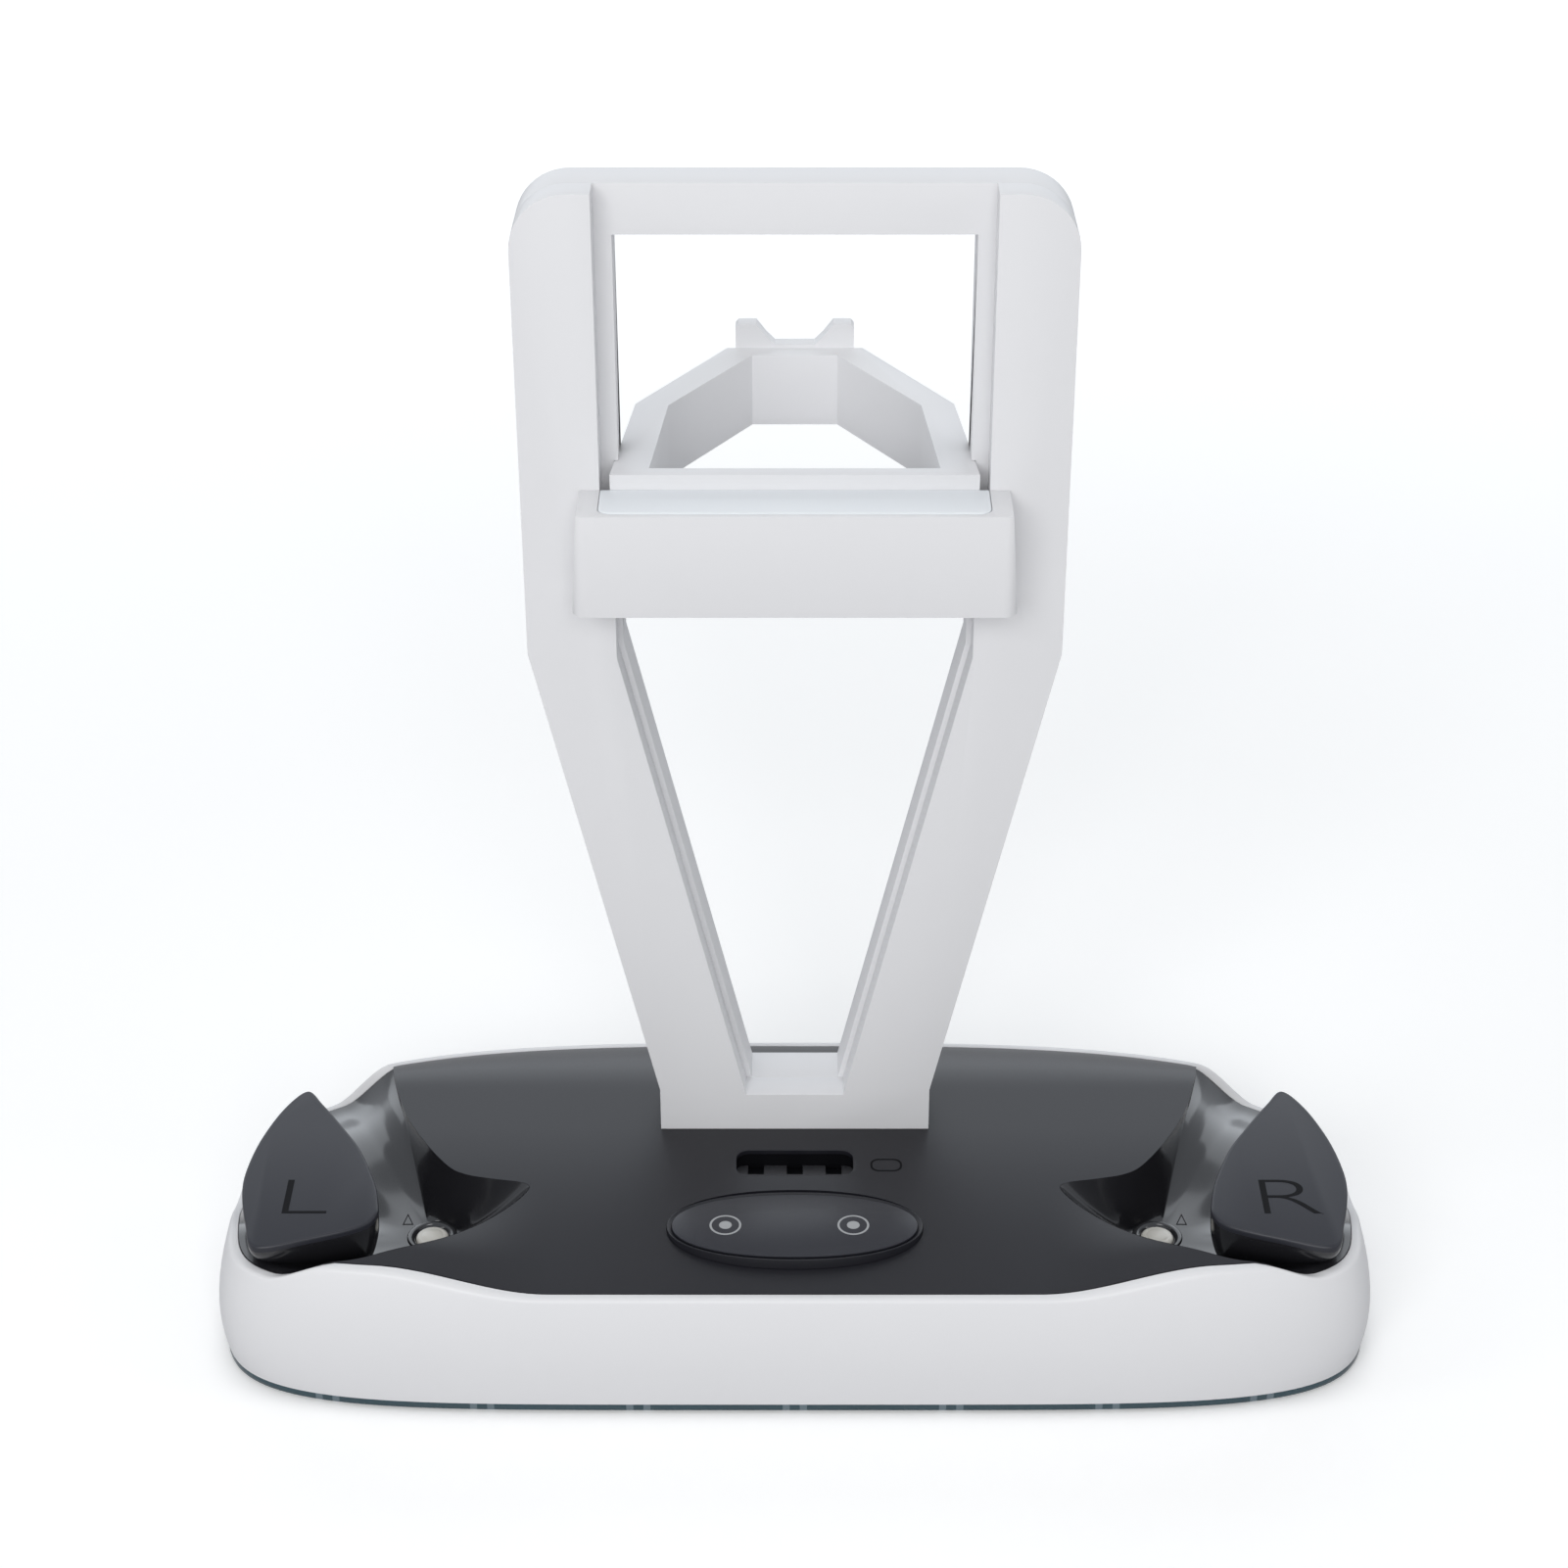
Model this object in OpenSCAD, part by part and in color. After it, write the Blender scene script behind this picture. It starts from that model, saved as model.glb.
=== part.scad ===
// Charging dock for a headset and its two hand controllers: wide base, upright frame, plug-in headset arm.
// Millimetres. X runs left to right, Y from front to back, Z up from the table.

/* [Base] */
// Overall width of the base at its widest level
base_w = 304; // [290:1:330]
// Overall depth of the base at its widest level
base_d = 126; // [120:1:136]
// Level at which the base is widest
belly_z = 20; // [17:0.5:23]
// Squareness of the front corners at the foot
front_square = 5; // [4:0.5:6]
// Squareness of the front corners at the rim
rim_square = 8; // [7:0.5:9]
// Squareness of the back corners
rear_square = 3.1; // [2.8:0.1:3.6]
// How far the belly curve draws in at the foot
foot_draw = 2; // [1:0.25:3]
// How far the belly curve draws in at twice the belly level
crown_draw = 7; // [5:0.5:8]
// Height of the rubber feet
feet_h = 1; // [0.8:0.1:2]
// Diameter of the rubber feet
feet_d = 14; // [10:0.5:18]
// Thickness of the clear light plate under the base
plate_t = 2; // [1.5:0.25:3]
// Wall of the white shell
shell_t = 2.4; // [2:0.1:3]
// Width of the shell's rim beside the deck
lip_w = 2.2; // [1.8:0.1:2.6]
// Width of the inner ledge that carries the deck
ledge_w = 2; // [1.5:0.25:3]
// Fall of that ledge from the rim inward
ledge_drop = 1.2; // [1.1:0.1:1.6]
// Thickness of the bottom cover
cover_t = 2.2; // [1.8:0.1:3]

/* [Rim heights] */
// Rim at the middle of the front
rim_front = 34; // [33:0.5:36]
// Rim in front of each dock
rim_high = 41; // [39:0.5:42]
// Rim beside the wings
rim_side = 38.5; // [37:0.5:40]
// Rim at the back corners, where the docks run out
rim_low = 20.5; // [19:0.5:24]
// Rim along the back
rim_rear = 31.5; // [30:0.5:34]

/* [Deck] */
// Height of the deck around the upright
deck_z = 40; // [38.5:0.5:42]
// Thickness of the deck
deck_t = 2.4; // [2:0.1:3]
// Length of the recess with the three sockets
tray_w = 31; // [29:0.5:36]
// Width of the recess with the three sockets
tray_d = 10.5; // [9:0.5:12]
// Depth of that recess under the deck
tray_drop = 5.5; // [4.5:0.5:7]
// Distance of the recess in front of the upright
tray_gap = 9.8; // [8:0.2:14]
// Side of each socket
socket_s = 4.3; // [3.5:0.1:5]
// Pitch of the sockets
socket_pitch = 10.3; // [9:0.1:11]
// Length of the oval touch panel
oval_w = 66; // [56:1:72]
// Width of the oval touch panel
oval_d = 28.5; // [24:0.5:31]
// Distance of the oval's centre in front of the upright
oval_gap = 40.4; // [38:0.2:42]
// Height of the oval's level top
oval_z = 38.6; // [38:0.1:40]
// Width of the oval's rim
bezel_w = 1; // [0.8:0.1:2]

/* [Docks] */
// Distance of each charging pin from the end of the base
pin_x = 55; // [53:0.5:57]
// Distance of the pins in front of the middle of the base
pin_y = 20.4; // [19:0.2:22]
// Floor of the dock bowls
floor_z = 24; // [22:0.5:26]
// Height of the saddle over that floor
saddle_h = 4; // [2:0.5:6]
// Diameter of the charging pin
pin_d = 8.6; // [7:0.2:9.4]
// Diameter of the collar round the pin
collar_d = 13; // [11.5:0.25:14]
// How far the pin stands over the floor
pin_up = 0.8; // [0.5:0.1:1.5]
// Diameter of the magnet under the floor
magnet_d = 18; // [16:0.5:20]
// Thickness of the magnet
magnet_t = 3; // [2:0.25:4]
// Wing height at its front edge
wing_front_z = 44.5; // [43.5:0.5:46]
// Rise of the wing from its front edge to its tip
wing_rise = 3; // [1:0.5:5]
// Thickness of the matt pad on the wing
wing_pad_t = 1.8; // [1.4:0.2:2.4]

/* [Upright] */
// Height of the upright over the table
upright_h = 300; // [280:1:320]
// Width of the upright's head
head_w = 131.6; // [126:0.2:136]
// Width of the upright's foot
foot_w = 72; // [68:0.5:78]
// Depth of the front frame of the upright
front_t = 8.4; // [7:0.2:10]
// Depth of the rear frame of the upright
rear_t = 11.6; // [9:0.2:14]
// Distance of the upright's front face behind the middle of the base
upright_y = 6; // [5:0.5:8]
// Radius of the head's corners
head_r = 13.5; // [10:0.5:16]
// Height at which the foot starts to widen
foot_z = 52.6; // [50:0.5:56]
// Height at which the sides become upright
shoulder_z = 183; // [176:1:190]
// Height of the window's sill
sill_z = 51; // [48:0.5:54]
// Width of the window's sill in the front frame
sill_w = 26; // [22:0.5:30]
// Draft of the window from the front frame to the rear frame, each side
window_step = 1.35; // [1:0.05:2]
// Width of the window in the rear frame
window_w = 85; // [83:0.5:86]
// Height of the top rail
rail_h = 12.4; // [10:0.2:16]
// Depth of the rebate beside the window in the front frame
rebate_w = 4.7; // [3.5:0.1:5.5]
// Level of the foot inside the base
tenon_z = 12; // [10:0.5:15]

/* [Arm] */
// Level of the crossbar's top
bar_z = 226.9; // [220:0.5:234]
// Height of the crossbar
bar_h = 26.2; // [22:0.2:30]
// Depth of the crossbar
bar_d = 15.6; // [13:0.2:18]
// Width of the crossbar at its top
bar_w = 103; // [100:0.5:108]
// Widening of the crossbar to its foot, each side
bar_draft = 1.8; // [0.5:0.1:2.5]
// Radius of the crossbar's front corners
bar_r = 3.5; // [2:0.5:6]
// Length of the pad on the crossbar
pad_w = 93; // [86:0.5:97]
// Thickness of the pad
pad_t = 1.5; // [1:0.1:2]
// How far the pad stands over the crossbar
pad_up = 0.3; // [0.1:0.1:0.8]
// Margin of the pad behind the crossbar's front face
pad_margin = 1.9; // [1.5:0.1:3]
// Height of the ring over the crossbar's top
ring_up = 4; // [3:0.25:6]
// Height of the ring
ring_h = 19.4; // [16:0.2:22]
// Length of the ring from the upright's front face to its back wall
ring_l = 83.4; // [76:0.2:90]
// Distance from the upright's front face to the ring's bend
bend_l = 44.7; // [42:0.1:48]
// Width of the ring at its bend
bend_w = 80.1; // [78:0.1:82]
// Width of the ring's back wall
back_w = 35.5; // [32:0.5:40]
// Wall of the ring
ring_t = 8.6; // [7:0.1:10]
// Front wall of the ring
ring_front_t = 4; // [3:0.2:6]
// Back wall of the ring
ring_back_t = 5.3; // [4:0.1:7]
// Overall width of the two prongs
prong_w = 31; // [28:0.5:34]
// Width of the notch between the prongs
notch_w = 14.8; // [12:0.2:17]
// Height of the prongs over the ring
prong_up = 6.5; // [5:0.25:8]
// Depth of the prongs from front to back
prong_t = 4.6; // [3.5:0.1:6]

/* [Fit] */
// Clearance between pieces that fit into each other
fit = 0.15; // [0.1:0.05:0.3]

/* [Hidden] */

half_w = base_w / 2;
half_d = base_d / 2;
ring_end = upright_y + ring_l;
tail_y = ring_end + prong_t;
shift_y = (half_d - tail_y) / 2;
plate_z = feet_h + plate_t;
cover_z = plate_z + cover_t;
wall_z = upright_y + front_t;
back_y = wall_z + rear_t;
turns = 144;
small = 0.01;

edge_in = lip_w + fit;

// A place near the right-hand end: distance from the base's end, and a depth that stretches with
// the base from the half depth it was drawn for
drawn_d = 63;
stretch = half_d / drawn_d;
function from_end(p) = [half_w - p[0], p[1] * stretch];
pin_place = [half_w - pin_x, -pin_y];

// Where the rim starts to rise, to dip, to run out at the back and to fall, and over what length
rise_x = half_w - 94;
rise_run = 60;
dip_x = half_w - 27;
dip_run = 9;
out_x = half_w - 41;
out_run = 17;
side_x = half_w - 24;
fall_y = -4 * stretch;
fall_run = 26 * stretch;

// Points of half a dock's edge on the deck, from the front rim to the back rim, right-hand side
dock_front_x = half_w - 26;
dock_back_x = half_w - 39;
edge_places = [
    [39, -50.5], [51, -45.5], [61, -39.5], [69, -32.5], [76, -25.5], [81, -20.5], [82.4, -18],
    [80, -16.6], [72, -15.4], [65, -13.6], [60, -10], [53, 0], [46, 14], [41.5, 30], [39.4, 42]
];
dock_edge = concat(
    [[dock_front_x, front_edge(dock_front_x)]],
    [for (p = edge_places) from_end(p)],
    [[dock_back_x, back_edge(dock_back_x)]]);

// Points of a wing's outline, right-hand side, tip first
wing_places = [
    [20.4, 15.6], [25, 9.6], [31.7, -1.3], [37.3, -11], [42, -22], [44.4, -32], [44.2, -38.6],
    [40.4, -42.8], [29.4, -46.2], [17.4, -48.8], [12.6, -40], [10.2, -30], [9.7, -19], [11.2, -6],
    [14.7, 6.4]
];
wing_outline = [for (p = wing_places) from_end(p)];

// Where screws hold the cover and where the feet stand, right-hand side and middle
post_places = [from_end([92, -36]), from_end([90, 38]), [20, 44 * stretch]];
feet_places = [from_end([34, -36]), from_end([40, 32]), [0, -46 * stretch], [0, 46 * stretch]];

function smooth(t) = let (c = min(1, max(0, t))) c * c * (3 - 2 * c);
function blend(a, b, t) = a + (b - a) * t;
function power(v, n) = pow(abs(v), n);

// Curve through a list of points, with the given number of steps between neighbours
function curve_at(a, b, c, d, t) =
    0.5 * (2 * b + (c - a) * t + (2 * a - 5 * b + 4 * c - d) * t * t + (3 * b - a - 3 * c + d) * t * t * t);
function curve(p, n) = let (last = len(p) - 1) concat(
    [for (i = [0:last - 1], k = [0:n - 1])
        curve_at(p[max(0, i - 1)], p[i], p[i + 1], p[min(last, i + 2)], k / n)],
    [p[last]]);

// How far the side stands in at a level, and how square the corners are there
function draw_in(z) = z < belly_z
    ? foot_draw * pow((belly_z - z) / (belly_z - plate_z), 2)
    : crown_draw * pow((z - belly_z) / belly_z, 2);
function square_at(z) = blend(front_square, rim_square, min(1, max(0, (z - plate_z) / (rim_side - plate_z))));

// Point of the base's outline at a level: direction t in degrees, set in by some distance
function outline_at(t, z, inset) =
    let (
        a = half_w - draw_in(z) - inset,
        b = half_d - draw_in(z) * (z < belly_z ? 0.5 : 1) - inset,
        n = sin(t) < 0 ? square_at(z) : rear_square,
        dx = half_w * cos(t),
        dy = half_d * sin(t),
        r = pow(power(dx / a, n) + power(dy / b, n), -1 / n)
    ) [r * dx, r * dy];

// Height of the rim along the front, along the back and beside the wings
function rim_along_front(x) = rim_front + (rim_high - rim_front) * smooth((abs(x) - rise_x) / rise_run)
    - (rim_high - rim_side) * smooth((abs(x) - dip_x) / dip_run);
function rim_along_back(x) = rim_rear - (rim_rear - rim_low) * smooth((abs(x) - out_x) / out_run);
function rim_fall(y) = (rim_side - rim_low) * smooth((y - fall_y) / fall_run);
function rim_over(p) = p[1] < 0 ? rim_along_front(p[0]) - rim_fall(p[1])
    : abs(p[0]) > side_x ? rim_side - rim_fall(p[1]) : rim_along_back(p[0]);
function rim_at(t) =
    let (
        first = rim_over(outline_at(t, belly_z, edge_in)),
        second = rim_over(outline_at(t, first, edge_in))
    ) rim_over(outline_at(t, second, edge_in));

// Edge of the deck at a given x, on the front and on the back
function front_edge(x) = let (z = rim_along_front(x), n = square_at(z))
    -(half_d - draw_in(z) - edge_in) * pow(1 - power(x / (half_w - draw_in(z) - edge_in), n), 1 / n);
function back_edge(x) = let (z = rim_along_back(x))
    (half_d - draw_in(z) - edge_in)
        * pow(1 - power(x / (half_w - draw_in(z) - edge_in), rear_square), 1 / rear_square);

// Height of the deck at a point, which takes up the rim's rise over a run in front of the upright
ridge_y = 18 * stretch;
ridge_run = 30 * stretch;
function deck_at(x, y) = y < upright_y
    ? deck_z - (deck_z - rim_front) * pow((y - upright_y) / (front_edge(x) - upright_y), 2)
        + (rim_along_front(x) - rim_front) * smooth((-y - ridge_y) / ridge_run)
    : y < back_y ? deck_z
    : deck_z - (deck_z - rim_along_back(x)) * pow(min(1, (y - back_y) / (back_edge(x) - back_y)), 2);

// The deck's plan is a patch between the two dock edges and the two rims
edge_line = curve(dock_edge, 3);
edge_steps = len(edge_line) - 1;
deck_cols = 24;
function deck_plan(i, j) =
    let (
        e = edge_line[i],
        u = 2 * j / deck_cols - 1,
        x = u * e[0],
        w = (e[1] - dock_edge[0][1]) / (dock_edge[len(dock_edge) - 1][1] - dock_edge[0][1]),
        bow_front = front_edge(x) - front_edge(e[0]),
        bow_back = back_edge(x) - back_edge(e[0])
    ) [x, e[1] + blend(bow_front, bow_back, w)];

// Closed slab between two grids of points that share their rows and columns
module grid_slab(top, bottom, rows, cols) {
    n = rows * cols;
    function at(i, j) = i * cols + j;
    loop = concat(
        [for (j = [0:cols - 1]) at(0, j)],
        [for (i = [1:rows - 1]) at(i, cols - 1)],
        [for (j = [cols - 2:-1:0]) at(rows - 1, j)],
        [for (i = [rows - 2:-1:1]) at(i, 0)]);
    m = len(loop);
    faces = concat(
        [for (i = [0:rows - 2], j = [0:cols - 2]) each [
            [at(i, j), at(i + 1, j), at(i + 1, j + 1)], [at(i, j), at(i + 1, j + 1), at(i, j + 1)],
            [n + at(i, j), n + at(i + 1, j + 1), n + at(i + 1, j)],
            [n + at(i, j), n + at(i, j + 1), n + at(i + 1, j + 1)]]],
        [for (k = [0:m - 1]) let (p = loop[k], q = loop[(k + 1) % m]) each [
            [n + p, p, q], [n + p, q, n + q]]]);
    polyhedron(concat(top, bottom), faces, convexity = 6);
}

// Closed solid from loops of points that follow each other round its section
module loop_solid(loops) {
    count = len(loops);
    n = len(loops[0]);
    function at(i, k) = (i % count) * n + k % n;
    polyhedron(
        [for (l = loops) each l],
        [for (i = [0:count - 1], k = [0:n - 1]) each [
            [at(i, k), at(i + 1, k), at(i + 1, k + 1)], [at(i, k), at(i + 1, k + 1), at(i, k + 1)]]],
        convexity = 8);
}

// Moves a piece from the middle of the base to the middle of the whole dock
module placed() {
    translate([0, shift_y, 0]) children();
}

module outline_plate(z, h, inset) {
    translate([0, 0, z])
        linear_extrude(h)
            polygon([for (i = [0:turns - 1]) outline_at(i * 360 / turns, z, inset)]);
}

// White shell: a belly-curved skirt with a rim that rises to the docks and a ledge for the deck
module base_shell() {
    outer = [0, 0.2, 0.42, 0.62, 0.8, 0.92, 1];
    function angle(k) = k * 360 / turns;
    function ring(f) = [for (k = [0:turns - 1])
        let (t = angle(k), z = blend(plate_z, rim_at(t), f), p = outline_at(t, z, 0)) [p[0], p[1], z]];
    function inside(drop, inset) = [for (k = [0:turns - 1])
        let (t = angle(k), z = rim_at(t) - drop, p = outline_at(t, rim_at(t), inset)) [p[0], p[1], z]];
    function low(z, inset) = [for (k = [0:turns - 1])
        let (p = outline_at(angle(k), z, inset)) [p[0], p[1], z]];
    seat = deck_t + fit;
    rings = concat(
        [for (f = outer) ring(f)],
        [inside(0, lip_w), inside(seat, lip_w), inside(seat + ledge_drop, lip_w + ledge_w),
            inside(seat + ledge_drop + 3, lip_w + ledge_w)],
        [low(belly_z * 0.6, shell_t + ledge_w / 2), low(plate_z, shell_t)]);
    color([0.89, 0.89, 0.91])
        placed()
            difference() {
                loop_solid(rings);
                translate([0, half_d - 8, inlet_z])
                    rotate([-90, 0, 0]) rounded_box(inlet_w + 4 * fit, inlet_h + 4 * fit, 12, 1.8);
            }
}

module rounded_box(w, d, h, r) {
    linear_extrude(h)
        union() {
            square([w - 2 * r, d], center = true);
            square([w, d - 2 * r], center = true);
            for (x = [-1, 1], y = [-1, 1])
                translate([x * (w / 2 - r), y * (d / 2 - r)]) circle(r, $fn = 32);
        }
}

function oval_points(w, d) = [for (i = [0:71])
    let (t = i * 5, n = 2.15, r = pow(power(cos(t), n) + power(sin(t), n), -1 / n))
    [w / 2 * r * cos(t), d / 2 * r * sin(t)]];

post_d = 8;
screw_d = 2.8;
screw_head_d = 5.6;
screw_head_t = 1.6;
screw_l = 10;
tray_y = upright_y - tray_gap - tray_d / 2;
oval_y = upright_y - oval_gap;

module at_posts() {
    for (p = post_places, s = [-1, 1]) translate([s * p[0], p[1], 0]) children();
}

// Matt black deck between the docks, with the upright's slot, the socket recess and the oval's seat
module deck() {
    rows = edge_steps + 1;
    cols = deck_cols + 1;
    plan = [for (i = [0:edge_steps], j = [0:deck_cols]) deck_plan(i, j)];
    top = [for (p = plan) [p[0], p[1], deck_at(p[0], p[1])]];
    bottom = [for (p = top) [p[0], p[1], p[2] - deck_t]];
    color([0.2, 0.2, 0.22])
        placed()
            difference() {
                union() {
                    grid_slab(top, bottom, rows, cols);
                    for (p = post_places, s = [-1, 1])
                        translate([s * p[0], p[1], cover_z])
                            cylinder(h = deck_at(p[0], p[1]) - deck_t / 2 - cover_z, d = post_d, $fn = 32);
                }
                translate([-foot_w / 2 - fit, upright_y - fit, 0])
                    cube([foot_w + 2 * fit, front_t + rear_t + 2 * fit, 2 * deck_z]);
                translate([0, tray_y, 25]) rounded_box(tray_w, tray_d, 30, 2);
                translate([0, oval_y, 25])
                    linear_extrude(30) polygon(oval_points(oval_w + 2 * fit, oval_d + 2 * fit));
                at_posts() translate([0, 0, cover_z - 1]) cylinder(h = screw_l, d = screw_d + fit, $fn = 24);
            }
}

// Loop round a dock: the deck's edge from back to front, then the rim from front to back
turn_step = 360 / turns;
function toward_pin(p) = let (d = pin_place - p) p + d / norm(d) * fit;
function turn_of(p) = atan2(p[1] / half_d, p[0] / half_w);
front_turn = turn_of(dock_edge[0]);
back_turn = turn_of(dock_edge[len(dock_edge) - 1]);
flat_rim = ledge_w + 0.6;
dock_rim = [for (k = [ceil(front_turn / turn_step):floor(back_turn / turn_step)])
    let (t = k * turn_step, z = rim_at(t), p = outline_at(t, z, edge_in)) [p[0], p[1], z, flat_rim]];
dock_inner = [for (i = [edge_steps:-1:0])
    let (e = edge_line[i], p = toward_pin(e)) [p[0], p[1], deck_at(e[0], e[1]), 0]];
dock_loop = concat(dock_inner, dock_rim);

// Point of the dock's surface between the collar's hole (f = 0) and a point of the loop (f = 1).
// Each point of the loop also gives the width of the level margin beside it.
hole_r = collar_d / 2 + fit;
saddle_y = 2 * stretch;
saddle_run = 30 * stretch;
function dock_point(e, f) =
    let (
        d = [e[0], e[1]] - pin_place,
        plan = pin_place + d * (hole_r + (norm(d) - hole_r) * f) / norm(d),
        back = smooth((e[1] - saddle_y) / saddle_run),
        run = norm(d) - hole_r,
        climb = pow(min(1, f * run / (run - e[3])), blend(1.35, 1.7, back)),
        saddle = saddle_h * back * pow(sin(180 * pow(f, 1.3)), 2)
    ) [plan[0], plan[1], blend(floor_z, e[2], climb) + saddle];

// Height of the dock's surface at a point, from the point of the loop in the same direction
function cross_of(a, b) = a[0] * b[1] - a[1] * b[0];
function dock_at(p) =
    let (
        d = p - pin_place,
        n = len(dock_loop),
        found = [for (k = [0:n - 1])
            let (
                a = dock_loop[k],
                b = dock_loop[(k + 1) % n],
                pa = [a[0], a[1]] - pin_place,
                pb = [b[0], b[1]] - pin_place,
                ca = cross_of(pa, d),
                cb = cross_of(d, pb)
            ) if (ca >= 0 && cb > 0) blend(a, b, ca / (ca + cb))],
        reach = norm([found[0][0], found[0][1]] - pin_place)
    ) dock_point(found[0], (norm(d) - hole_r) / (reach - hole_r))[2];

// Glossy black dock: bowl round the pin, saddle that runs out at the back
dock_steps = [1, 0.9, 0.82, 0.72, 0.61, 0.5, 0.36, 0.2, 0];
function dock_step(e, i) =
    i == 1 ? 1 - min(0.1, flat_rim / (norm([e[0], e[1]] - pin_place) - hole_r)) : dock_steps[i];
module dock() {
    top = [for (i = [0:8]) [for (e = dock_loop) dock_point(e, dock_step(e, i))]];
    bottom = [for (i = [8, 6, 4, 2, 1, 0]) [for (p = top[i]) [p[0], p[1], p[2] - deck_t]]];
    loop_solid(concat(top, bottom));
}

// A wing's outline, drawn as a curve, and the height of its sloping top
wing_line = curve(concat(wing_outline, [wing_outline[0]]), 3);
wing_front = wing_outline[9][1];
wing_slope = wing_rise / (wing_outline[0][1] - wing_front);
wing_middle = from_end([26, -22]);
function wing_at(y) = wing_front_z + wing_slope * (y - wing_front);
function shrunk(p, inset) = let (d = p - wing_middle) p - d / norm(d) * inset;

// Glossy wall of a wing, from the dock's surface up to the matt pad
wing_wall_t = 2;
wall_seat = 0.6;
module wing_wall() {
    outer = [for (i = [0:len(wing_line) - 2]) wing_line[i]];
    inner = [for (p = outer) shrunk(p, wing_wall_t)];
    low = [for (p = outer) [p[0], p[1], dock_at(p) + wall_seat]];
    high = [for (p = outer) [p[0], p[1], wing_at(p[1]) - wing_pad_t - small]];
    high_in = [for (p = inner) [p[0], p[1], wing_at(p[1]) - wing_pad_t - small]];
    low_in = [for (p = inner) [p[0], p[1], dock_at(p) + wall_seat]];
    loop_solid([low, high, high_in, low_in]);
}

module wing_wall_right() {
    color([0.06, 0.06, 0.07]) placed() wing_wall();
}

module wing_wall_left() {
    color([0.06, 0.06, 0.07]) placed() mirror([1, 0, 0]) wing_wall();
}

module dock_right() {
    color([0.06, 0.06, 0.07]) placed() dock();
}

module dock_left() {
    color([0.06, 0.06, 0.07]) placed() mirror([1, 0, 0]) dock();
}

// Matt pad that covers a wing's sloping top
module wing_pad() {
    intersection() {
        translate([0, 0, floor_z]) linear_extrude(2 * wing_front_z) polygon(wing_line);
        translate([0, wing_front, wing_front_z])
            rotate([atan(wing_slope), 0, 0])
                translate([0, -half_d, -wing_pad_t]) cube([base_w, 2 * base_d, wing_pad_t]);
    }
}

module wing_pad_right() {
    color([0.24, 0.24, 0.26]) placed() wing_pad();
}

module wing_pad_left() {
    color([0.24, 0.24, 0.26]) placed() mirror([1, 0, 0]) wing_pad();
}

// Collar round a pin, with a flange under the dock's floor
collar_up = 0.3;
flange_t = 1.2;
module collar() {
    translate([pin_place[0], pin_place[1], floor_z - deck_t - flange_t])
        difference() {
            union() {
                cylinder(h = flange_t, d = collar_d + 3, $fn = 64);
                cylinder(h = flange_t + deck_t + collar_up, d = collar_d, $fn = 64);
            }
            translate([0, 0, -1]) cylinder(h = 30, d = pin_d + 2 * fit, $fn = 64);
        }
}

module collar_right() {
    color([0.05, 0.05, 0.06]) placed() collar();
}

module collar_left() {
    color([0.05, 0.05, 0.06]) placed() mirror([1, 0, 0]) collar();
}

// Charging pin: a domed contact on a stem that stands on its board
board_t = 1.2;
pin_board_z = floor_z - deck_t - flange_t - magnet_t - board_t;
dome_h = 0.9;
module pin_whole() {
    foot = pin_board_z + board_t;
    tall = floor_z + pin_up - foot;
    translate([pin_place[0], pin_place[1], foot])
        rotate_extrude($fn = 64)
            union() {
                square([pin_d / 2, tall - dome_h]);
                intersection() {
                    translate([0, tall - (pow(pin_d / 2, 2) + pow(dome_h, 2)) / (2 * dome_h)])
                        circle((pow(pin_d / 2, 2) + pow(dome_h, 2)) / (2 * dome_h), $fn = 180);
                    translate([0, tall - dome_h - small]) square([pin_d / 2, dome_h + 1]);
                }
            }
}

module pin_right() {
    color([0.93, 0.92, 0.88]) placed() pin_whole();
}

module pin_left() {
    color([0.93, 0.92, 0.88]) placed() mirror([1, 0, 0]) pin_whole();
}

// Ring magnet under a dock's floor
module magnet() {
    translate([pin_place[0], pin_place[1], floor_z - deck_t - flange_t - magnet_t])
        difference() {
            cylinder(h = magnet_t, d = magnet_d, $fn = 64);
            translate([0, 0, -1]) cylinder(h = magnet_t + 2, d = pin_d + 2 * fit, $fn = 64);
        }
}

module magnet_right() {
    color([0.6, 0.6, 0.62]) placed() magnet();
}

module magnet_left() {
    color([0.6, 0.6, 0.62]) placed() mirror([1, 0, 0]) magnet();
}

// Small board that carries a pin and its magnet
module pin_board() {
    translate([pin_place[0], pin_place[1], pin_board_z]) rounded_box(26, 22, board_t, 2);
}

module pin_board_right() {
    color([0.1, 0.35, 0.2]) placed() pin_board();
}

module pin_board_left() {
    color([0.1, 0.35, 0.2]) placed() mirror([1, 0, 0]) pin_board();
}

// Ramp in the recess, level with the deck in front and low at the back, with three square sockets
tray_floor = deck_z - tray_drop;
block_low = tray_floor - 5;
socket_deep = 4;
socket_back = 0.5;
module socket_block() {
    w = tray_w - 2 * fit;
    d = tray_d - 2 * fit;
    front_z = deck_at(0, tray_y - tray_d / 2);
    color([0.16, 0.16, 0.17])
        placed()
            translate([0, tray_y, 0])
                difference() {
                    intersection() {
                        translate([0, 0, block_low]) rounded_box(w, d, deck_z, 2 - fit);
                        rotate([90, 0, 90])
                            translate([0, 0, -w / 2])
                                linear_extrude(w)
                                    polygon([[-d / 2, block_low], [d / 2, block_low], [d / 2, tray_floor],
                                        [-d / 2, front_z]]);
                    }
                    for (k = [-1, 0, 1])
                        translate([k * socket_pitch - socket_s / 2, d / 2 - socket_back - socket_s,
                            tray_floor - socket_deep])
                            cube([socket_s, socket_s, 20]);
                }
}

// Board under the sockets
module socket_board() {
    color([0.1, 0.35, 0.2])
        placed()
            translate([0, tray_y, block_low - board_t]) rounded_box(40, 16, board_t, 2);
}

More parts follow.
